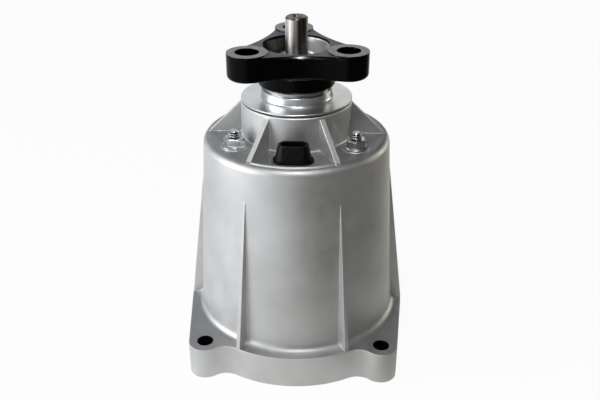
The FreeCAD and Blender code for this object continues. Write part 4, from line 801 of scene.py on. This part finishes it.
class COUPLING_OT_studs(CouplingOperator, bpy.types.Operator):
    """Cuts the threads of the studs and finishes their nuts"""

    bl_idname = "coupling.studs"
    bl_label = "Studs and nuts"

    def execute(self, context):
        threads = context.scene.coupling_threads
        zinc = bpy.data.materials["clear_passivated_zinc"]
        # Painted shade: the thread's core is dark so that the grooves between the crests look shaded
        root = turned_steel("thread_root_painted_shade", "#262523", "#3b3a37", 0.5)
        circle, front = threads.stud_circle, threads.stud_angle
        turns = (-front, math.pi / 2, math.pi + front)
        places = [(circle * math.cos(turn), circle * math.sin(turn), 0) for turn in turns]
        studs = made_by_nodes("threaded_studs", self.stud_tree(zinc, root), {
            "Radius": threads.stud_radius, "Pitch": threads.stud_pitch,
            "Low": STUD_LOW, "High": STUD_HIGH,
        }, places, "housing")
        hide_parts("magnet_studs")
        nuts = made_by_nodes("flange_nuts", self.nut_tree(zinc), {
            "Side": threads.nut_flats / math.sqrt(3), "Height": threads.nut_height,
            "Seat": NUT_SEAT, "Flange": threads.nut_flange,
        }, places, "housing")
        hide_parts("stud_nuts")
        return {"FINISHED"}

    def nut_tree(self, material):
        """A flange nut on each point, the first one turned: flange, hexagon and chamfered top."""
        tree, entry = geometry_tree("flange_nuts", "Side", "Height", "Seat", "Flange")
        side, flange, tall = entry["Side"], entry["Flange"], entry["Height"]
        rim = maths(tree, "MULTIPLY", tall, NUT_RIM)
        slope = maths(tree, "MULTIPLY", tall, NUT_SLOPE)
        lead = maths(tree, "MULTIPLY", tall, NUT_LEAD)
        body = maths(tree, "SUBTRACT", tall, maths(tree, "ADD", rim, lead))
        end = maths(tree, "MULTIPLY", side, NUT_END)
        nut = node(tree, "GeometryNodeJoinGeometry")
        for sides, foot, head, start, height in (
            (ROUND_SIDES, flange, flange, 0.0, rim),
            (ROUND_SIDES, flange, side, rim, slope),
            (6, side, side, rim, body),
            (6, side, end, maths(tree, "ADD", rim, body), lead),
        ):
            ring = node(tree, "GeometryNodeMeshCone", {
                "Vertices": sides, "Radius Bottom": foot, "Radius Top": head, "Depth": height,
            })
            level = maths(tree, "ADD", entry["Seat"], start)
            tree.links.new(lifted(tree, ring.outputs[0], level), nut.inputs[0])
        index = node(tree, "GeometryNodeInputIndex").outputs[0]
        turn = maths(tree, "MULTIPLY", maths(tree, "LESS_THAN", index, 0.5), NUT_TURN)
        copies = node(tree, "GeometryNodeInstanceOnPoints", {
            "Points": entry["Geometry"], "Instance": nut.outputs[0],
            "Rotation": node(tree, "ShaderNodeCombineXYZ", {2: turn}).outputs[0],
        })
        close_tree(tree, copies.outputs[0], material)
        return tree

    def stud_tree(self, material, thread_shade_material):
        """A stud on each point: a core painted dark as shade, with a helical thread and a domed end.
        """
        tree, entry = geometry_tree("threaded_studs", "Radius", "Pitch", "Low", "High")
        pitch, foot = entry["Pitch"], entry["Low"]
        length = maths(tree, "SUBTRACT", entry["High"], foot)
        cut = maths(tree, "SUBTRACT", length, maths(tree, "MULTIPLY", pitch, THREAD_SHORT))
        depth = maths(tree, "MULTIPLY", pitch, THREAD_DEPTH)
        root = maths(tree, "SUBTRACT", entry["Radius"], depth)
        inset = maths(tree, "MULTIPLY", depth, TOOTH_PLACE)
        start = maths(tree, "SUBTRACT", entry["Radius"], inset)
        helix = node(tree, "GeometryNodeCurveSpiral", {
            "Resolution": THREAD_STEPS, "Rotations": maths(tree, "DIVIDE", cut, pitch),
            "Start Radius": start, "End Radius": start, "Height": cut,
        })
        tooth = node(tree, "GeometryNodeCurvePrimitiveCircle", {
            "Resolution": 4, "Radius": maths(tree, "MULTIPLY", pitch, TOOTH_SIZE),
        })
        thread = node(tree, "GeometryNodeCurveToMesh", {
            "Curve": helix.outputs[0], "Profile Curve": tooth.outputs["Curve"], "Fill Caps": True,
        })
        thread_foot = maths(tree, "ADD", foot, maths(tree, "MULTIPLY", pitch, THREAD_FOOT))
        thread = lifted(tree, thread.outputs[0], thread_foot)
        dome_height = maths(tree, "MULTIPLY", pitch, STUD_DOME)
        core = node(tree, "GeometryNodeMeshCylinder", {
            "Vertices": STUD_SIDES, "Side Segments": 1, "Radius": root,
            "Depth": maths(tree, "SUBTRACT", length, dome_height),
        })
        top = maths(tree, "SUBTRACT", entry["High"], dome_height)
        middle = maths(tree, "MULTIPLY", maths(tree, "ADD", top, foot), 0.5)
        core = node(tree, "GeometryNodeSetMaterial", {
            "Geometry": lifted(tree, core.outputs[0], middle), "Material": thread_shade_material,
        }).outputs[0]
        dome = node(tree, "GeometryNodeMeshCone", {
            "Vertices": STUD_SIDES, "Radius Top": maths(tree, "MULTIPLY", root, DOME_END),
            "Radius Bottom": root, "Depth": dome_height,
        })
        stud = node(tree, "GeometryNodeJoinGeometry")
        for part in (thread, core, lifted(tree, dome.outputs[0], top)):
            tree.links.new(part, stud.inputs[0])
        copies = node(tree, "GeometryNodeInstanceOnPoints", {
            "Points": entry["Geometry"], "Instance": stud.outputs[0],
        })
        close_tree(tree, copies.outputs[0], material, thread_shade_material)
        return tree


class COUPLING_OT_connector(CouplingOperator, bpy.types.Operator):
    """Adds the connector's guide ribs and latch ramp, and finishes its pieces"""

    bl_idname = "coupling.connector"
    bl_label = "Connector"

    def execute(self, context):
        nylon = moulded("glass_filled_nylon", "#020203", "#070708", 0.42, gloss=0.2)
        dress(["connector_body"], nylon)
        dress(["connector_terminals"], turned_steel("tinned_brass", "#b9b6ae", "#cfccc5", 0.25))
        dress(["connector_seal"], moulded("silicone_seal", "#3a2018", "#4a2a20", 0.6))
        keys = mesh_object("connector_keys")
        work = bmesh.new()
        self.keys(work)
        finish_mesh(keys, work, nylon, "housing")
        bevelled(keys, KEY_EDGE)
        return {"FINISHED"}

    def keys(self, work):
        """Guide ribs on the tower's long sides and the latch ramp in front."""
        for along, side, width, foot, head in KEYS:
            low_level, high_level = TOWER_HIGH - foot * MM, TOWER_HIGH - head * MM
            middle = (low_level + high_level) / 2
            centre = Vector((along * MM, PLUG_Y + side * KEY_PLACE * MM, middle))
            reach = Vector((width, KEY_DEPTH, (high_level - low_level) / MM)) * MM
            grown = bmesh.ops.create_cube(work, size=1.0)["verts"]
            bmesh.ops.scale(work, vec=reach, verts=grown)
            bmesh.ops.translate(work, vec=centre, verts=grown)


class COUPLING_OT_inside(CouplingOperator, bpy.types.Operator):
    """Finishes the seal, the bearing, the magnet, the clutch and the output hub"""

    bl_idname = "coupling.inside"
    bl_label = "Inside"

    def execute(self, context):
        steels = (
            # Name, dark and pale colour, roughness, pitch and depth of the tool lines, pieces
            ("turned_core_steel", "#6d6c6a", "#84837f", 0.34, 0.6, 0.012, (
                "magnet_yoke", "pole_plate", "clutch_drum", "armature_plate", "output_hub")),
            ("hardened_race_steel", "#8e8f92", "#a9aaad", 0.16, 0.3, 0.003, (
                "front_bearing_outer_ring", "front_bearing_inner_ring", "front_bearing_rollers",
                "hub_needles", "needle_shell", "pilot_cam", "main_cam", "cam_balls")),
            ("nitrided_plate_steel", "#4d4c49", "#63615d", 0.36, 0.7, 0.01, (
                "main_outer_plates", "pilot_outer_plates", "pilot_inner_plate")),
            ("pressed_seal_steel", "#77766f", "#8d8c86", 0.3, 0.4, 0.006, ("oil_seal_case",)),
            ("blued_spring_steel", "#2d3138", "#454a52", 0.3, 0.4, 0.006, (
                "oil_seal_spring", "bearing_circlip")),
            ("turned_stainless", "#a2a19e", "#b8b7b3", 0.28, 0.4, 0.006, ("magnet_break_ring",)),
            ("sintered_bronze", "#7d5a2c", "#9c763e", 0.38, 0.5, 0.02, (
                "thrust_washer", "hub_bush")),
        )
        mouldings = (
            # Name, dark and pale colour, roughness, depth of the skin, pieces
            ("nitrile_rubber", "#0d0d0d", "#181817", 0.55, 0.03, ("oil_seal_lip", "hub_seal")),
            ("moulded_o_ring", "#101010", "#1b1a19", 0.5, 0.01, ("cover_seal_ring",)),
            ("polyamide_cage", "#8a6a38", "#a8844a", 0.4, 0.02, (
                "front_bearing_cage", "needle_cage")),
            ("potted_winding", "#4a1d0c", "#6a2c12", 0.35, 0.05, ("magnet_coil",)),
            ("wire_sleeve_pvc", "#0c0c0c", "#161616", 0.45, 0.02, ("magnet_lead",)),
        )
        for make, rows in ((turned_steel, steels), (moulded, mouldings)):
            for *finish, names in rows:
                dress(names, make(*finish))
        dress(["main_inner_plates"], lined_paper())
        dress(["filler_plug"], bpy.data.materials["clear_passivated_zinc"])
        return {"FINISHED"}


# Sidebar and registration
class COUPLING_PT_sidebar(bpy.types.Panel):
    bl_label = "Coupling"
    bl_idname = "COUPLING_PT_sidebar"
    bl_space_type = "VIEW_3D"
    bl_region_type = "UI"
    bl_category = "Coupling"

    def draw(self, context):
        for group in GROUPS:
            settings = getattr(context.scene, group)
            for name in settings.bl_rna.properties.keys():
                if name not in ("rna_type", "name"):
                    self.layout.prop(settings, name)
        for operator in OPERATORS:
            self.layout.operator(operator.bl_idname)


GROUPS = {
    "coupling_finish": CouplingFinish, "coupling_threads": CouplingThreads,
    "coupling_deflector": CouplingDeflector, "coupling_stage": CouplingStage,
}
OPERATORS = (
    COUPLING_OT_stage, COUPLING_OT_housing, COUPLING_OT_flange, COUPLING_OT_studs,
    COUPLING_OT_connector, COUPLING_OT_inside,
)


def register():
    for name, group in GROUPS.items():
        bpy.utils.register_class(group)
        setattr(bpy.types.Scene, name, PointerProperty(type=group))
    for item in OPERATORS + (COUPLING_PT_sidebar,):
        bpy.utils.register_class(item)


def unregister():
    for item in (COUPLING_PT_sidebar,) + OPERATORS[::-1]:
        bpy.utils.unregister_class(item)
    for name, group in GROUPS.items():
        delattr(bpy.types.Scene, name)
        bpy.utils.unregister_class(group)


def main():
    register()
    bpy.ops.coupling.stage()
    bpy.ops.coupling.housing()
    bpy.ops.coupling.flange()
    bpy.ops.coupling.studs()
    bpy.ops.coupling.connector()
    bpy.ops.coupling.inside()


if __name__ == "__main__":
    main()
